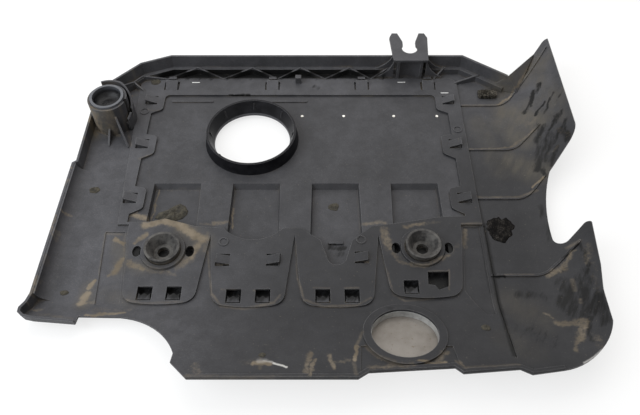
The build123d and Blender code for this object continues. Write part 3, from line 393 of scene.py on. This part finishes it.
# Low bar across the floor near the end of the third finger
BAR_BOX = ((8.5, -67.0, 2.3), (24.0, -63.5, 4.6))
BAR_ROUND = 0.6

# Meshes of crumbs: points and spread of an outline; rings, sides and lift of a clump; its relief
LUMP_POINTS = 11
LUMP_SPREAD = (0.72, 1.0)
CLUMP_RINGS = 9
CLUMP_SIDES = 96
CLUMP_LIFT = 0.10
CLUMP_FRACTAL = (0.7, 2.1, 4)
CLUMP_MEAN = 0.62
CLUMP_SWING = 0.55
CLUMP_LEAST = 0.12


def torn_profile(x, y):
    """Share of its thickness that the torn foam still has: full along its front left edge."""
    (x1, y1), (x2, y2) = TORN_EDGE
    length = math.hypot(x2 - x1, y2 - y1)
    off = abs((x2 - x1) * (y - y1) - (y2 - y1) * (x - x1)) / length
    return TORN_THIN + (1.0 - TORN_THIN) * math.exp(-((off / TORN_EDGE_W) ** 2))


class Nodes:
    """One material's node tree, built by short calls."""

    def __init__(self, name):
        self.material = bpy.data.materials.new(name)
        self.material.use_nodes = True
        self.tree = self.material.node_tree
        self.tree.nodes.clear()
        self.position = self.add("ShaderNodeTexCoord").outputs["Object"]
        self.normal = self.add("ShaderNodeNewGeometry").outputs["Normal"]

    def add(self, kind, inputs=None, **settings):
        """A node with its settings; each input is linked to a socket or set to a value."""
        node = self.tree.nodes.new(kind)
        for name, value in settings.items():
            setattr(node, name, value)
        for key, value in (inputs or {}).items():
            if isinstance(value, bpy.types.NodeSocket):
                self.tree.links.new(value, node.inputs[key])
            else:
                node.inputs[key].default_value = value
        return node

    def noise(self, scale, detail=4.0, roughness=0.55, vector=None):
        inputs = {"Vector": vector or self.position, "Scale": scale}
        inputs.update({"Detail": detail, "Roughness": roughness})
        return self.add("ShaderNodeTexNoise", inputs).outputs["Fac"]

    def ease(self, value, low, high, to_low=0.0, to_high=1.0):
        inputs = {"Value": value, "From Min": low, "From Max": high, "To Min": to_low, "To Max": to_high}
        return self.add("ShaderNodeMapRange", inputs, interpolation_type="SMOOTHSTEP").outputs["Result"]

    def math(self, operation, first, second=0.0):
        return self.add("ShaderNodeMath", {0: first, 1: second}, operation=operation).outputs["Value"]

    def vector(self, operation, inputs, output="Vector"):
        return self.add("ShaderNodeVectorMath", inputs, operation=operation).outputs[output]

    def height(self, vector=None):
        """Z of a vector, or of the position."""
        return self.add("ShaderNodeSeparateXYZ", {0: vector or self.position}).outputs["Z"]

    def mix(self, factor, first, second):
        node = self.add("ShaderNodeMix", {0: factor, 6: first, 7: second}, data_type="RGBA")
        return node.outputs[2]

    def warped(self, scale, reach):
        """The position, shifted by up to reach millimetres by coloured noise of this scale."""
        inputs = {"Vector": self.position, "Scale": scale, "Detail": 3.0, "Roughness": 0.6}
        colour = self.add("ShaderNodeTexNoise", inputs).outputs["Color"]
        centred = self.vector("SUBTRACT", {0: colour, 1: (0.5, 0.5, 0.5)})
        scaled = self.vector("SCALE", {0: centred, "Scale": 2.0 * reach * MM})
        return self.vector("ADD", {0: self.position, 1: scaled})

    def strokes(self, strokes, vector):
        """How thick a list of strokes lies at a point of the plan, from 0 to 1."""
        plan = self.vector("MULTIPLY", {0: vector, 1: (1.0, 1.0, 0.0)})
        for x1, y1, x2, y2, half_width, strength in strokes:
            stroke = self.add("ShaderNodeGroup", node_tree=STROKE_GROUP)
            self.tree.links.new(plan, stroke.inputs["Plan"])
            stroke.inputs["Centre"].default_value = ((x1 + x2) / 2 * MM, (y1 + y2) / 2 * MM, 0.0)
            stroke.inputs["Turn"].default_value = (0.0, 0.0, math.atan2(y2 - y1, x2 - x1))
            stroke.inputs["Half length"].default_value = math.hypot(x2 - x1, y2 - y1) / 2 * MM
            stroke.inputs["Half width"].default_value = half_width * MM
            stroke.inputs["Strength"].default_value = strength
            plan = stroke.outputs["Plan"]
        return self.height(plan)

    def open_sky(self, reach):
        """Near 1 in the open, less in inner corners and grooves nearer than reach millimetres."""
        return self.add("ShaderNodeAmbientOcclusion", {"Distance": reach * MM}, samples=6).outputs["AO"]

    def crease(self, reach, low, high):
        """Near 1 in inner corners and grooves, 0 in the open."""
        return self.ease(self.open_sky(reach), high, low)

    def streaks(self, scale, turn, stretch):
        """Noise drawn out along one direction of the plan."""
        inputs = {"Vector": self.position, "Scale": (stretch, 1.0, 1.0)}
        inputs["Rotation"] = (0.0, 0.0, math.radians(turn))
        drawn = self.add("ShaderNodeMapping", inputs, vector_type="TEXTURE").outputs[0]
        return self.noise(scale, 5.0, 0.65, drawn)

    def shifted(self, amount, grain, spread):
        """A soft mask made uneven by a grain around one half."""
        shift = self.math("MULTIPLY", self.math("SUBTRACT", grain, 0.5), spread)
        return self.math("ADD", amount, shift)

    def ragged(self, amount, grain):
        """Breaks a soft mask into patches with ragged edges; thin masks stay faint."""
        patches = self.ease(self.shifted(amount, grain, PATCH_SPREAD), *PATCH_EDGES)
        return self.math("MULTIPLY", patches, self.ease(amount, 0.02, 1.00, 0.0, PATCH_MOST))

    def streaked(self, amount, grain):
        """Breaks a soft mask into dark streaks."""
        dark = self.ease(self.shifted(amount, grain, SOOT_AND_SHADE_SPREAD), *SOOT_AND_SHADE_EDGES, 0.0, SOOT_AND_SHADE_MOST)
        return self.math("MULTIPLY", dark, self.ease(amount, 0.02, 0.20))

    def edges(self, radius, low, high):
        """Near 1 along edges and sharp turns of the surface; the radius is in millimetres."""
        rounded = self.add("ShaderNodeBevel", {"Radius": radius * MM}, samples=4).outputs["Normal"]
        agree = self.vector("DOT_PRODUCT", {0: rounded, 1: self.normal}, "Value")
        return self.ease(agree, high, low)

    def finish(self, colour, roughness, relief, bump, bump_reach=0.3, edge=0.6, shine=None, metal=0.0):
        """Closes the tree: edges rounded and relief bumped in millimetres, then the surface shader."""
        rounded = self.add("ShaderNodeBevel", {"Radius": edge * MM}, samples=4).outputs["Normal"]
        inputs = {"Height": relief, "Strength": bump, "Distance": bump_reach * MM, "Normal": rounded}
        normal = self.add("ShaderNodeBump", inputs).outputs["Normal"]
        inputs = {"Base Color": colour, "Roughness": roughness, "Normal": normal, "Metallic": metal}
        surface = self.add("ShaderNodeBsdfPrincipled", inputs)
        if shine is not None:
            surface.inputs["Specular IOR Level"].default_value = shine
        output = self.add("ShaderNodeOutputMaterial")
        self.tree.links.new(surface.outputs["BSDF"], output.inputs["Surface"])
        return self.material


def make_stroke_group():
    """Node group that adds one soft-edged stroke to a point of the plan, whose Z holds the dirt so far."""
    group = bpy.data.node_groups.new("stroke", "ShaderNodeTree")
    sockets = {"Plan": "Vector", "Centre": "Vector", "Turn": "Vector",
               "Half length": "Float", "Half width": "Float", "Strength": "Float"}
    for name, kind in sockets.items():
        group.interface.new_socket(name, in_out="INPUT", socket_type="NodeSocket" + kind)
    group.interface.new_socket("Plan", in_out="OUTPUT", socket_type="NodeSocketVector")
    given = group.nodes.new("NodeGroupInput").outputs

    def add(kind, inputs, **settings):
        node = group.nodes.new(kind)
        for name, value in settings.items():
            setattr(node, name, value)
        for key, value in inputs.items():
            if isinstance(value, bpy.types.NodeSocket):
                group.links.new(value, node.inputs[key])
            else:
                node.inputs[key].default_value = value
        return node.outputs

    so_far = add("ShaderNodeSeparateXYZ", {0: given["Plan"]})
    place = {"Vector": given["Plan"], "Location": given["Centre"], "Rotation": given["Turn"]}
    local = add("ShaderNodeSeparateXYZ", {0: add("ShaderNodeMapping", place, vector_type="TEXTURE")[0]})
    along = add("ShaderNodeMath", {0: local["X"]}, operation="ABSOLUTE")[0]
    past = add("ShaderNodeMath", {0: along, 1: given["Half length"]}, operation="SUBTRACT")[0]
    beyond = add("ShaderNodeMath", {0: past, 1: 0.0}, operation="MAXIMUM")[0]
    reach = add("ShaderNodeCombineXYZ", {"X": beyond, "Y": local["Y"]})[0]
    distance = add("ShaderNodeVectorMath", {0: reach}, operation="LENGTH")["Value"]
    share = add("ShaderNodeMath", {0: distance, 1: given["Half width"]}, operation="DIVIDE")[0]
    ramp = {"Value": share, "From Min": 1.45, "From Max": 0.15}
    mask = add("ShaderNodeMapRange", ramp, interpolation_type="SMOOTHSTEP")["Result"]
    thick = add("ShaderNodeMath", {0: mask, 1: given["Strength"]}, operation="MULTIPLY")[0]
    total = add("ShaderNodeMath", {0: thick, 1: so_far["Z"]}, operation="MAXIMUM")[0]
    plan = add("ShaderNodeCombineXYZ", {"X": so_far["X"], "Y": so_far["Y"], "Z": total})[0]
    result = group.nodes.new("NodeGroupOutput")
    group.links.new(plan, result.inputs["Plan"])
    return group


STROKE_GROUP = make_stroke_group()


def dirty_plastic(name, film_and_light_shares, dust, soot_and_shade, cover=False):
    """Black moulded plastic under an uneven film that is partly painted light, with dust and soot where
    they lie, painted shade in holes and grooves, and edges paled as wear and painted highlight.
    """
    n = Nodes(name)
    place = n.add("ShaderNodeSeparateXYZ", {0: n.position}).outputs
    # Grey film, its share partly painted light: more on faces turned up, at the left and at the rear
    upward = n.ease(n.height(n.normal), 0.10, 0.90, FILM_AND_LIGHT_ON_WALLS, 1.0)
    side = n.ease(place["X"], FILM_AND_LIGHT_X[0] * MM, FILM_AND_LIGHT_X[1] * MM, film_and_light_shares[0], film_and_light_shares[1])
    rear = n.ease(place["Y"], FILM_AND_LIGHT_REAR_Y[0] * MM, FILM_AND_LIGHT_REAR_Y[1] * MM, 0.0, film_and_light_shares[2])
    share = n.math("MAXIMUM", side, rear)
    fade = n.ease(n.noise(FADE_GRAIN, 5.0, 0.6), 0.28, 0.74, 0.62, 1.0)
    mottle = n.ease(n.noise(MOTTLE_GRAIN, 6.0, 0.68), 0.30, 0.70, 0.66, 1.04)
    fine = n.noise(FINE_GRAIN, 3.0, 0.6)
    film_and_light = n.math("MULTIPLY", n.math("MULTIPLY", upward, share), n.math("MULTIPLY", fade, mottle))
    grey = n.mix(n.ease(fine, 0.45, 0.75), FILM_GREY, FILM_AND_HIGHLIGHT_PALE)
    colour = n.mix(film_and_light, PLASTIC_BLACK, grey)
    open_sky = n.open_sky(CORNER_REACH)
    # Edges paled as wear and as a painted highlight
    worn_lit_edges = n.math("MULTIPLY", n.edges(WEAR_AND_HIGHLIGHT_RADIUS, 0.68, 0.93), n.ease(open_sky, 0.62, 0.90))
    rubbed_and_lit = n.math("MULTIPLY", worn_lit_edges, n.ease(n.noise(WEAR_AND_HIGHLIGHT_GRAIN, 4.0, 0.6), 0.34, 0.62, 0.35, 0.80))
    colour = n.mix(rubbed_and_lit, colour, EDGE_WEAR_AND_HIGHLIGHT)

    smeared = n.warped(SMEAR_GRAIN, SMEAR_SHIFT)
    traced = n.warped(TRACE_GRAIN, TRACE_SHIFT)
    drawn = n.streaks(STREAK_GRAIN, STREAK_TURN, STREAK_STRETCH)
    soot_and_shade_grain = n.streaks(WIPE_GRAIN, STREAK_TURN, WIPE_STRETCH)
    if cover:
        thin = n.ease(drawn, 0.30, 0.68, 0.25, WASH_SHARE)
        colour = n.mix(n.math("MULTIPLY", n.strokes(COVER_WASH, smeared), thin), colour, WASH)
    # Soot, grease and wiped bare black, and painted shade in holes and under ribs
    soot_and_shade_mask = n.streaked(n.strokes(soot_and_shade, smeared), soot_and_shade_grain)
    if cover:
        # Painted shade: black on the channel floor and along the grooves
        low = n.ease(place["Z"], CHANNEL_TOP * MM, (CHANNEL_TOP - 0.8) * MM)
        channel_shade = n.math("MULTIPLY", n.strokes(CHANNEL_PAINTED_SHADE, traced), low)
        dark = n.math("MAXIMUM", channel_shade, n.strokes(COVER_GROOVE_SHADE, traced))
        soot_and_shade_mask = n.math("MAXIMUM", soot_and_shade_mask, dark)
    colour = n.mix(soot_and_shade_mask, colour, SOOT_AND_SHADE_BLACK)

    in_corners = n.ease(n.noise(CORNER_GRAIN), 0.42, 0.64, 0.0, 0.55)
    corners = n.math("MULTIPLY", n.ease(open_sky, 0.66, 0.30), in_corners)
    corners = n.math("MULTIPLY", corners, n.math("SUBTRACT", 1.0, soot_and_shade_mask))
    smears = n.ragged(n.strokes(dust, smeared), n.noise(DUST_GRAIN, 6.0, 0.70))
    dust_mask = n.math("MAXIMUM", corners, smears)
    if cover:
        broken = n.ease(n.noise(LINE_GRAIN, 6.0, 0.75), 0.32, 0.66, 0.10, LINE_SHARE)
        lines = n.math("MULTIPLY", n.strokes(COVER_LINES, traced), broken)
        dust_mask = n.math("MAXIMUM", dust_mask, lines)
    tone = n.ease(n.noise(TONE_GRAIN, 4.0, 0.6), 0.35, 0.65)
    colour = n.mix(dust_mask, colour, n.mix(tone, DUST, DUST_PALE))
    specks = n.ease(n.noise(SPECK_GRAIN, 2.0, 0.5), 0.69, 0.77, 0.0, 0.32)
    colour = n.mix(specks, colour, DUST_PALE)

    if cover:
        # White scuffs, and a painted highlight along the wing's front edge
        scuffs_and_glint = n.strokes(SCUFFS_AND_GLINT, n.warped(SCUFF_AND_GLINT_GRAIN, SCUFF_AND_GLINT_SHIFT))
        colour = n.mix(scuffs_and_glint, colour, SCRATCH_AND_GLINT_WHITE)
    else:
        colour = n.mix(n.ease(place["Z"], (KEY_FOOT - 0.05) * MM, KEY_FOOT * MM), colour, KEY_WHITE)

    dull = n.math("MAXIMUM", dust_mask, n.math("MULTIPLY", film_and_light, 0.5))
    roughness = n.ease(dull, 0.0, 1.0, 0.42, 0.95)
    relief = n.math("ADD", n.math("MULTIPLY", fine, 0.5), n.noise(PORE_GRAIN, 4.0, 0.7))
    return n.finish(colour, roughness, relief, bump=0.35, shine=PLASTIC_SHINE)


def collar_plastic():
    """Blacker plastic of the filler collar, with a grey foot, dusty corners, and edges paled as wear and
    painted highlight.
    """
    n = Nodes("collar_plastic")
    mottle = n.ease(n.noise(COLLAR_GRAIN, 5.0, 0.65), 0.35, 0.7)
    colour = n.mix(mottle, COLLAR_BLACK, COLLAR_GREY)
    foot = n.ease(n.height(), (SKIN_TOP + 0.6) * MM, (SKIN_TOP + 0.2) * MM, 0.0, 0.8)
    colour = n.mix(foot, colour, FILM_GREY)
    in_corners = n.ease(n.noise(COLLAR_DUST_GRAIN), 0.45, 0.65, 0.0, 0.4)
    dust = n.math("MULTIPLY", n.crease(COLLAR_CORNER_REACH, 0.30, 0.60), in_corners)
    colour = n.mix(dust, colour, DUST)
    # Edges paled as wear and as a painted highlight
    in_open = n.ease(n.open_sky(COLLAR_OPEN_REACH), 0.55, 0.85, 0.0, 0.8)
    worn_lit_edges = n.math("MULTIPLY", n.edges(COLLAR_WEAR_AND_HIGHLIGHT_RADIUS, 0.80, 0.985), in_open)
    colour = n.mix(worn_lit_edges, colour, FILM_AND_HIGHLIGHT_PALE)
    roughness = n.ease(mottle, 0.0, 1.0, 0.38, 0.55)
    return n.finish(colour, roughness, n.noise(COLLAR_PORE_GRAIN, 3.0), bump=0.25, shine=PLASTIC_SHINE)


def rubber(name, dark, pale, dusty, roughness, rim=None):
    """Mount rubber between a dark and a worn tone, with dust in its corners and perhaps a rim painted pale
    as sheen.
    """
    n = Nodes(name)
    worn = n.ease(n.noise(RUBBER_GRAIN, 5.0, 0.7), 0.35, 0.65)
    colour = n.mix(worn, dark, pale)
    if rim:
        # Painted sheen: the rim turns pale bluish grey above the dark of the cup
        colour = n.mix(n.ease(n.height(), rim[0] * MM, rim[1] * MM, 0.0, 0.9), colour, RUBBER_RIM_SHEEN)
    in_corners = n.ease(n.noise(RUBBER_DUST_GRAIN), 0.30, 0.60, 0.15, 0.8)
    dust = n.math("MULTIPLY", n.crease(RUBBER_CORNER_REACH, 0.25, 0.75), in_corners)
    colour = n.mix(n.math("MULTIPLY", dust, dusty), colour, DUST)
    roughness = n.ease(worn, 0.0, 1.0, roughness, roughness + 0.18)
    return n.finish(colour, roughness, n.noise(RUBBER_PORE_GRAIN, 4.0, 0.7), bump=0.4, shine=RUBBER_SHINE)


def bright_trim():
    """Bright plate and pins, unevenly dulled."""
    n = Nodes("bright_trim")
    dull = n.ease(n.noise(TRIM_GRAIN, 5.0, 0.65), 0.35, 0.68)
    colour = n.mix(dull, PIN_BRIGHT, PIN_DULL)
    roughness = n.ease(dull, 0.0, 1.0, 0.25, 0.48)
    return n.finish(colour, roughness, n.noise(TRIM_PORE_GRAIN, 2.0), bump=0.12, edge=0.4, metal=PIN_METAL)


def cap_trim():
    """The front cap: bright inner wall, and a satin disc with dust specks on it."""
    n = Nodes("cap_trim")
    dull = n.ease(n.noise(TRIM_GRAIN, 5.0, 0.65), 0.35, 0.68)
    wall = n.mix(dull, SILVER, SILVER_DULL)
    disc = n.mix(n.ease(n.noise(DISC_GRAIN, 4.0, 0.6), 0.32, 0.68), CAP_GREY, CAP_PALE)
    specks = n.ease(n.noise(DISC_SPECK_GRAIN, 2.0, 0.5), 0.66, 0.72, 0.0, 0.7)
    disc = n.mix(specks, disc, CLAY)
    tilt = math.radians(BEND_ANGLE)
    out_of_cup = (0.0, math.sin(tilt), math.cos(tilt))
    rise = n.vector("DOT_PRODUCT", {0: n.position, 1: out_of_cup}, "Value")
    disc_rise = (Vector(CAP_AT).dot(Vector(out_of_cup)) - CAP_DISC_DROP) * MM
    on_wall = n.ease(rise, disc_rise, disc_rise + 0.2 * MM)
    colour = n.mix(on_wall, disc, wall)
    roughness = n.ease(on_wall, 0.0, 1.0, 0.50, 0.30)
    return n.finish(colour, roughness, n.noise(TRIM_PORE_GRAIN, 2.0), bump=0.12, edge=0.4, metal=CAP_METAL)


def residue():
    """Dried brown mud, crumbly, with a paler skin on top."""
    n = Nodes("residue")
    soil = n.ease(n.noise(MUD_TONE_GRAIN, 6.0, 0.7), 0.36, 0.66)
    colour = n.mix(soil, RESIDUE_DARK, RESIDUE_PALE)
    roughness = n.ease(soil, 0.0, 1.0, 0.90, 0.98)
    pores = n.noise(MUD_PORE_GRAIN, 5.0, 0.75)
    return n.finish(colour, roughness, pores, bump=0.8, bump_reach=0.6, edge=0.3)


def foam(name, base, pale):
    """Open-celled foam, soiled unevenly, with dark cells."""
    n = Nodes(name)
    inputs = {"Vector": n.position, "Scale": FOAM_CELL_GRAIN}
    cells = n.add("ShaderNodeTexVoronoi", inputs).outputs["Distance"]
    soil = n.ease(n.noise(FOAM_TONE_GRAIN, 5.0, 0.7), 0.40, 0.65)
    colour = n.mix(soil, base, pale)
    colour = n.mix(n.ease(cells, 0.25, 0.55, 0.0, 0.8), colour, SOOT_AND_SHADE_BLACK)
    roughness = n.ease(soil, 0.0, 1.0, 0.95, 0.85)
    pits = n.math("SUBTRACT", 1.0, cells)
    return n.finish(colour, roughness, pits, bump=0.9, bump_reach=0.8, shine=FOAM_SHINE)


def assign(node, material):
    """Puts a material on a CAD node in place of its plain one."""
    slots = nodes[node].data.materials
    slots.clear()
    slots.append(material)


assign("cover_shell", dirty_plastic("cover_plastic", COVER_FILM_AND_LIGHT, COVER_DUST, COVER_SOOT_AND_SHADE, cover=True))
insert_plastic = dirty_plastic("insert_plastic", PANEL_FILM_AND_LIGHT, PANEL_DUST, PANEL_PAINTED_SHADE)
assign("insert_panel", insert_plastic)
assign("filler_collar", collar_plastic())
assign("front_cap", cap_trim())
assign("badge_plate", bright_trim())
assign("tower_grommet", rubber("tower_rubber", RUBBER_BLACK, RUBBER_WORN, 0.10, 0.26, CUP_RIM))
assign("left_socket_grommet", rubber("left_socket_rubber", RUBBER, RUBBER_PALE, 1.0, 0.62))
assign("right_socket_grommet", rubber("right_socket_rubber", RUBBER, RUBBER_PALE, 0.35, 0.58))


def skin_height(x, y):
    """Height of the cover's inner face above the table at a plan point."""
    z = SKIN_TOP
    run = BEND_Y - y
    bend = math.radians(BEND_ANGLE)
    bend_run = BEND_R * math.sin(bend)
    if run > bend_run:
        z += BEND_R * (1.0 - math.cos(bend)) + (run - bend_run) * math.tan(bend)
    elif run > 0.0:
        z += BEND_R - math.sqrt(BEND_R**2 - run**2)
    if x > CURL_X:
        z += CURL_R - math.sqrt(CURL_R**2 - (x - CURL_X) ** 2)
    return z


def round_outline(x, y, half_x, half_y, rng):
    """Ragged round outline in plan."""
    points = []
    for i in range(LUMP_POINTS):
        angle = 2.0 * math.pi * i / LUMP_POINTS
        reach = rng.uniform(*LUMP_SPREAD)
        points.append((x + half_x * reach * math.cos(angle), y + half_y * reach * math.sin(angle)))
    return points


def ray_reach(centre, angle, outline):
    """Distance from the centre to a star-shaped outline along an angle."""
    dx, dy = math.cos(angle), math.sin(angle)
    best = 0.0
    for (x1, y1), (x2, y2) in zip(outline, outline[1:] + outline[:1]):
        ex, ey = x2 - x1, y2 - y1
        cross = dx * ey - dy * ex
        if abs(cross) < 1e-9:
            continue
        ax, ay = x1 - centre[0], y1 - centre[1]
        along = (ax * ey - ay * ex) / cross
        share = (ax * dy - ay * dx) / cross
        if along > 0.0 and -1e-6 <= share <= 1.0 + 1e-6:
            best = max(best, along)
    return best


def clump(name, outline, floor, height, grain, material, profile=None, ragged=0.0):
    """Closed crumbly mesh over a star-shaped outline; floor gives the height under it at a plan point."""
    centre = (sum(p[0] for p in outline) / len(outline), sum(p[1] for p in outline) / len(outline))
    mesh = bmesh.new()
    top_rows = []
    for ring in range(CLUMP_RINGS + 1):
        share = ring / CLUMP_RINGS
        top = []
        for i in range(CLUMP_SIDES):
            angle = 2.0 * math.pi * i / CLUMP_SIDES
            spike = noise.noise(Vector((math.cos(angle), math.sin(angle), height)) * RAGGED_TURNS)
            reach = ray_reach(centre, angle, outline) * share * (1.0 - ragged * (0.5 - 0.5 * spike))
            x = centre[0] + reach * math.cos(angle)
            y = centre[1] + reach * math.sin(angle)
            rough = noise.fractal(Vector((x, y, height)) * grain, *CLUMP_FRACTAL)
            relief = min(1.0, max(CLUMP_LEAST, CLUMP_MEAN + CLUMP_SWING * rough))
            thick = height * (1.0 - share**4) * relief
            if profile:
                thick *= profile(x, y)
            top.append(mesh.verts.new((x * MM, y * MM, (floor(x, y) + CLUMP_LIFT + thick) * MM)))
            if ring == 0:
                break
        top_rows.append(top)
    foot_rows = [mesh.verts.new((v.co.x, v.co.y, v.co.z - CLUMP_LIFT * 0.8 * MM)) for v in top_rows[-1]]
    middle = mesh.verts.new((centre[0] * MM, centre[1] * MM, (floor(*centre) + CLUMP_LIFT * 0.2) * MM))
    for i in range(CLUMP_SIDES):
        j = (i + 1) % CLUMP_SIDES
        mesh.faces.new((top_rows[0][0], top_rows[1][i], top_rows[1][j]))
        for inner, outer in zip(top_rows[1:], top_rows[2:]):
            mesh.faces.new((inner[i], outer[i], outer[j], inner[j]))
        mesh.faces.new((top_rows[-1][i], foot_rows[i], foot_rows[j], top_rows[-1][j]))
        mesh.faces.new((foot_rows[i], middle, foot_rows[j]))
    return place_mesh(name, mesh, material)


def place_mesh(name, mesh, material):
    """Turns a bmesh into a smooth piece that rides on the part."""
    bmesh.ops.recalc_face_normals(mesh, faces=mesh.faces)
    data = bpy.data.meshes.new(name)
    mesh.to_mesh(data)
    mesh.free()
    for polygon in data.polygons:
        polygon.use_smooth = True
    data.materials.append(material)
    piece = bpy.data.objects.new(name, data)
    bpy.context.scene.collection.objects.link(piece)
    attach(piece, "root")
    return piece


def foam_block(name, material):
    """Rough cut block of foam, its edges crumbled away, stuck to the skin."""
    mesh = bmesh.new()
    bmesh.ops.create_cube(mesh, size=2.0)
    bmesh.ops.subdivide_edges(mesh, edges=mesh.edges, cuts=FOAM_CUTS, use_grid_fill=True)
    for vert in mesh.verts:
        u, v, w = vert.co
        x = FOAM_AT[0] + u * FOAM_HALF[0]
        y = FOAM_AT[1] + v * FOAM_HALF[1]
        edges = sorted((abs(u), abs(v), abs(w)))
        worn = FOAM_EDGE_WEAR * edges[1] ** 6 + FOAM_CORNER_WEAR * edges[0] ** 6
        seed = Vector((x, y, w * FOAM_HALF[2])) * FOAM_ROUGH
        rough = 0.5 + 0.5 * noise.fractal(seed, *FOAM_FRACTAL)
        pull = 1.0 - FOAM_CRUMBLE * (min(1.0, max(0.0, rough)) + worn)
        x = FOAM_AT[0] + u * (FOAM_HALF[0] * pull)
        y = FOAM_AT[1] + v * (FOAM_HALF[1] * pull)
        top = (w + 1.0) / 2.0
        rise = CLUMP_LIFT + top * FOAM_HALF[2] * 2.0 * pull
        vert.co = (x * MM, y * MM, (skin_height(x, y) + rise) * MM)
    return place_mesh(name, mesh, material)


def finger_bar():
    """Low bar across the floor near the end of the third finger."""
    mesh = bmesh.new()
    bmesh.ops.create_cube(mesh, size=1.0)
    (x1, y1, z1), (x2, y2, z2) = BAR_BOX
    for vert in mesh.verts:
        u, v, w = (c + 0.5 for c in vert.co)
        vert.co = ((x1 + u * (x2 - x1)) * MM, (y1 + v * (y2 - y1)) * MM, (z1 + w * (z2 - z1)) * MM)
    offset = BAR_ROUND * MM
    bmesh.ops.bevel(mesh, geom=mesh.edges, offset=offset, segments=2, affect="EDGES", profile=0.5)
    return place_mesh("finger_bar", mesh, insert_plastic)


finger_bar()
brown_block = foam_block("foam_pad_block", foam("brown_foam", FOAM_BROWN, FOAM_BROWN_PALE))
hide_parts("foam_pad")
dark_foam = foam("dark_foam", FOAM_DARK, FOAM_DARK_PALE)
torn_patch = clump("torn_foam_patch", TORN_OUTLINE, skin_height, TORN_THICK, TORN_ROUGH,
                   dark_foam, torn_profile, TORN_RAGGED)
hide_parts("torn_foam_pad")
mud = residue()
clump("residue_finger_a", MUD_OUTLINE, lambda x, y: FINGER_FLOOR, MUD_THICK, MUD_ROUGH,
      mud)
lump_rng = random.Random(LUMP_SEED)
for lump_name, lump_x, lump_y, half_x, half_y, thick, floor_z in LUMPS:
    lump_floor = skin_height if floor_z is None else (lambda x, y, z=floor_z: z)
    lump_outline = round_outline(lump_x, lump_y, half_x, half_y, lump_rng)
    clump(lump_name, lump_outline, lump_floor, thick, LUMP_ROUGH, mud)


def make_floor():
    """Pale table that stays white to the camera and keeps a soft shadow."""
    mesh = bpy.data.meshes.new("floor")
    turns = ((-1, -1), (1, -1), (1, 1), (-1, 1))
    corners = [(u * FLOOR_REACH, v * FLOOR_REACH, 0.0) for u, v in turns]
    mesh.from_pydata(corners, [], [(0, 1, 2, 3)])
    floor = bpy.data.objects.new("floor", mesh)
    bpy.context.scene.collection.objects.link(floor)
    n = Nodes("floor_white")
    tone = n.ease(n.noise(FLOOR_GRAIN, 3.0), 0.3, 0.7)
    colour = n.mix(tone, FLOOR_WHITE, FLOOR_WHITE_PALE)
    plain = n.add("ShaderNodeBsdfDiffuse", {"Color": colour})
    glow = n.add("ShaderNodeEmission", {"Color": PLAIN_WHITE, "Strength": 1.0})
    path = n.add("ShaderNodeLightPath")
    seen = n.math("MAXIMUM", path.outputs["Is Camera Ray"], path.outputs["Is Glossy Ray"])
    share = n.math("MULTIPLY", n.math("MAXIMUM", seen, path.outputs["Is Transmission Ray"]), FLOOR_GLOW)
    both = n.add("ShaderNodeMixShader", {0: share, 1: plain.outputs[0], 2: glow.outputs[0]})
    n.add("ShaderNodeOutputMaterial", {"Surface": both.outputs[0]})
    mesh.materials.append(n.material)


def make_world():
    """White surroundings: the camera and reflections see plain white, and the light itself is softer."""
    world = bpy.data.worlds.new("studio")
    bpy.context.scene.world = world
    world.use_nodes = True
    tree = world.node_tree
    tree.nodes.clear()
    path = tree.nodes.new("ShaderNodeLightPath")
    light = tree.nodes.new("ShaderNodeBackground")
    light.inputs["Color"].default_value = SKY_COLOUR
    light.inputs["Strength"].default_value = SKY_STRENGTH
    white = tree.nodes.new("ShaderNodeBackground")
    white.inputs["Color"].default_value = PLAIN_WHITE
    white.inputs["Strength"].default_value = 1.0
    mix = tree.nodes.new("ShaderNodeMixShader")
    output = tree.nodes.new("ShaderNodeOutputWorld")
    seen = path.outputs["Is Camera Ray"]
    for kind in ("Is Glossy Ray", "Is Transmission Ray"):
        either = tree.nodes.new("ShaderNodeMath")
        either.operation = "MAXIMUM"
        tree.links.new(seen, either.inputs[0])
        tree.links.new(path.outputs[kind], either.inputs[1])
        seen = either.outputs[0]
    tree.links.new(seen, mix.inputs[0])
    tree.links.new(light.outputs[0], mix.inputs[1])
    tree.links.new(white.outputs[0], mix.inputs[2])
    tree.links.new(mix.outputs[0], output.inputs["Surface"])


def make_lamp(name, place, target, size, power, colour):
    """Soft square lamp that looks at a target."""
    data = bpy.data.lights.new(name, "AREA")
    data.size = size
    data.energy = power
    data.color = colour
    lamp = bpy.data.objects.new(name, data)
    lamp.location = place
    lamp.rotation_euler = (Vector(target) - Vector(place)).to_track_quat("-Z", "Y").to_euler()
    bpy.context.scene.collection.objects.link(lamp)


def make_camera():
    """The photograph's camera, level from side to side."""
    data = bpy.data.cameras.new("camera")
    data.sensor_fit = "HORIZONTAL"
    data.sensor_width = SENSOR_WIDTH
    data.lens = SENSOR_WIDTH * CAMERA_FOCAL_PX / FRAME_WIDTH_PX
    camera = bpy.data.objects.new("camera", data)
    camera.location = Vector(CAMERA_AT) * MM
    camera.rotation_euler = (math.radians(90.0 - CAMERA_PITCH), 0.0, 0.0)
    bpy.context.scene.collection.objects.link(camera)
    bpy.context.scene.camera = camera


make_floor()
make_world()
make_lamp("window", *WINDOW_LAMP)
make_lamp("ceiling", *CEILING_LAMP)
make_camera()
bpy.context.scene.view_settings.view_transform = "Standard"
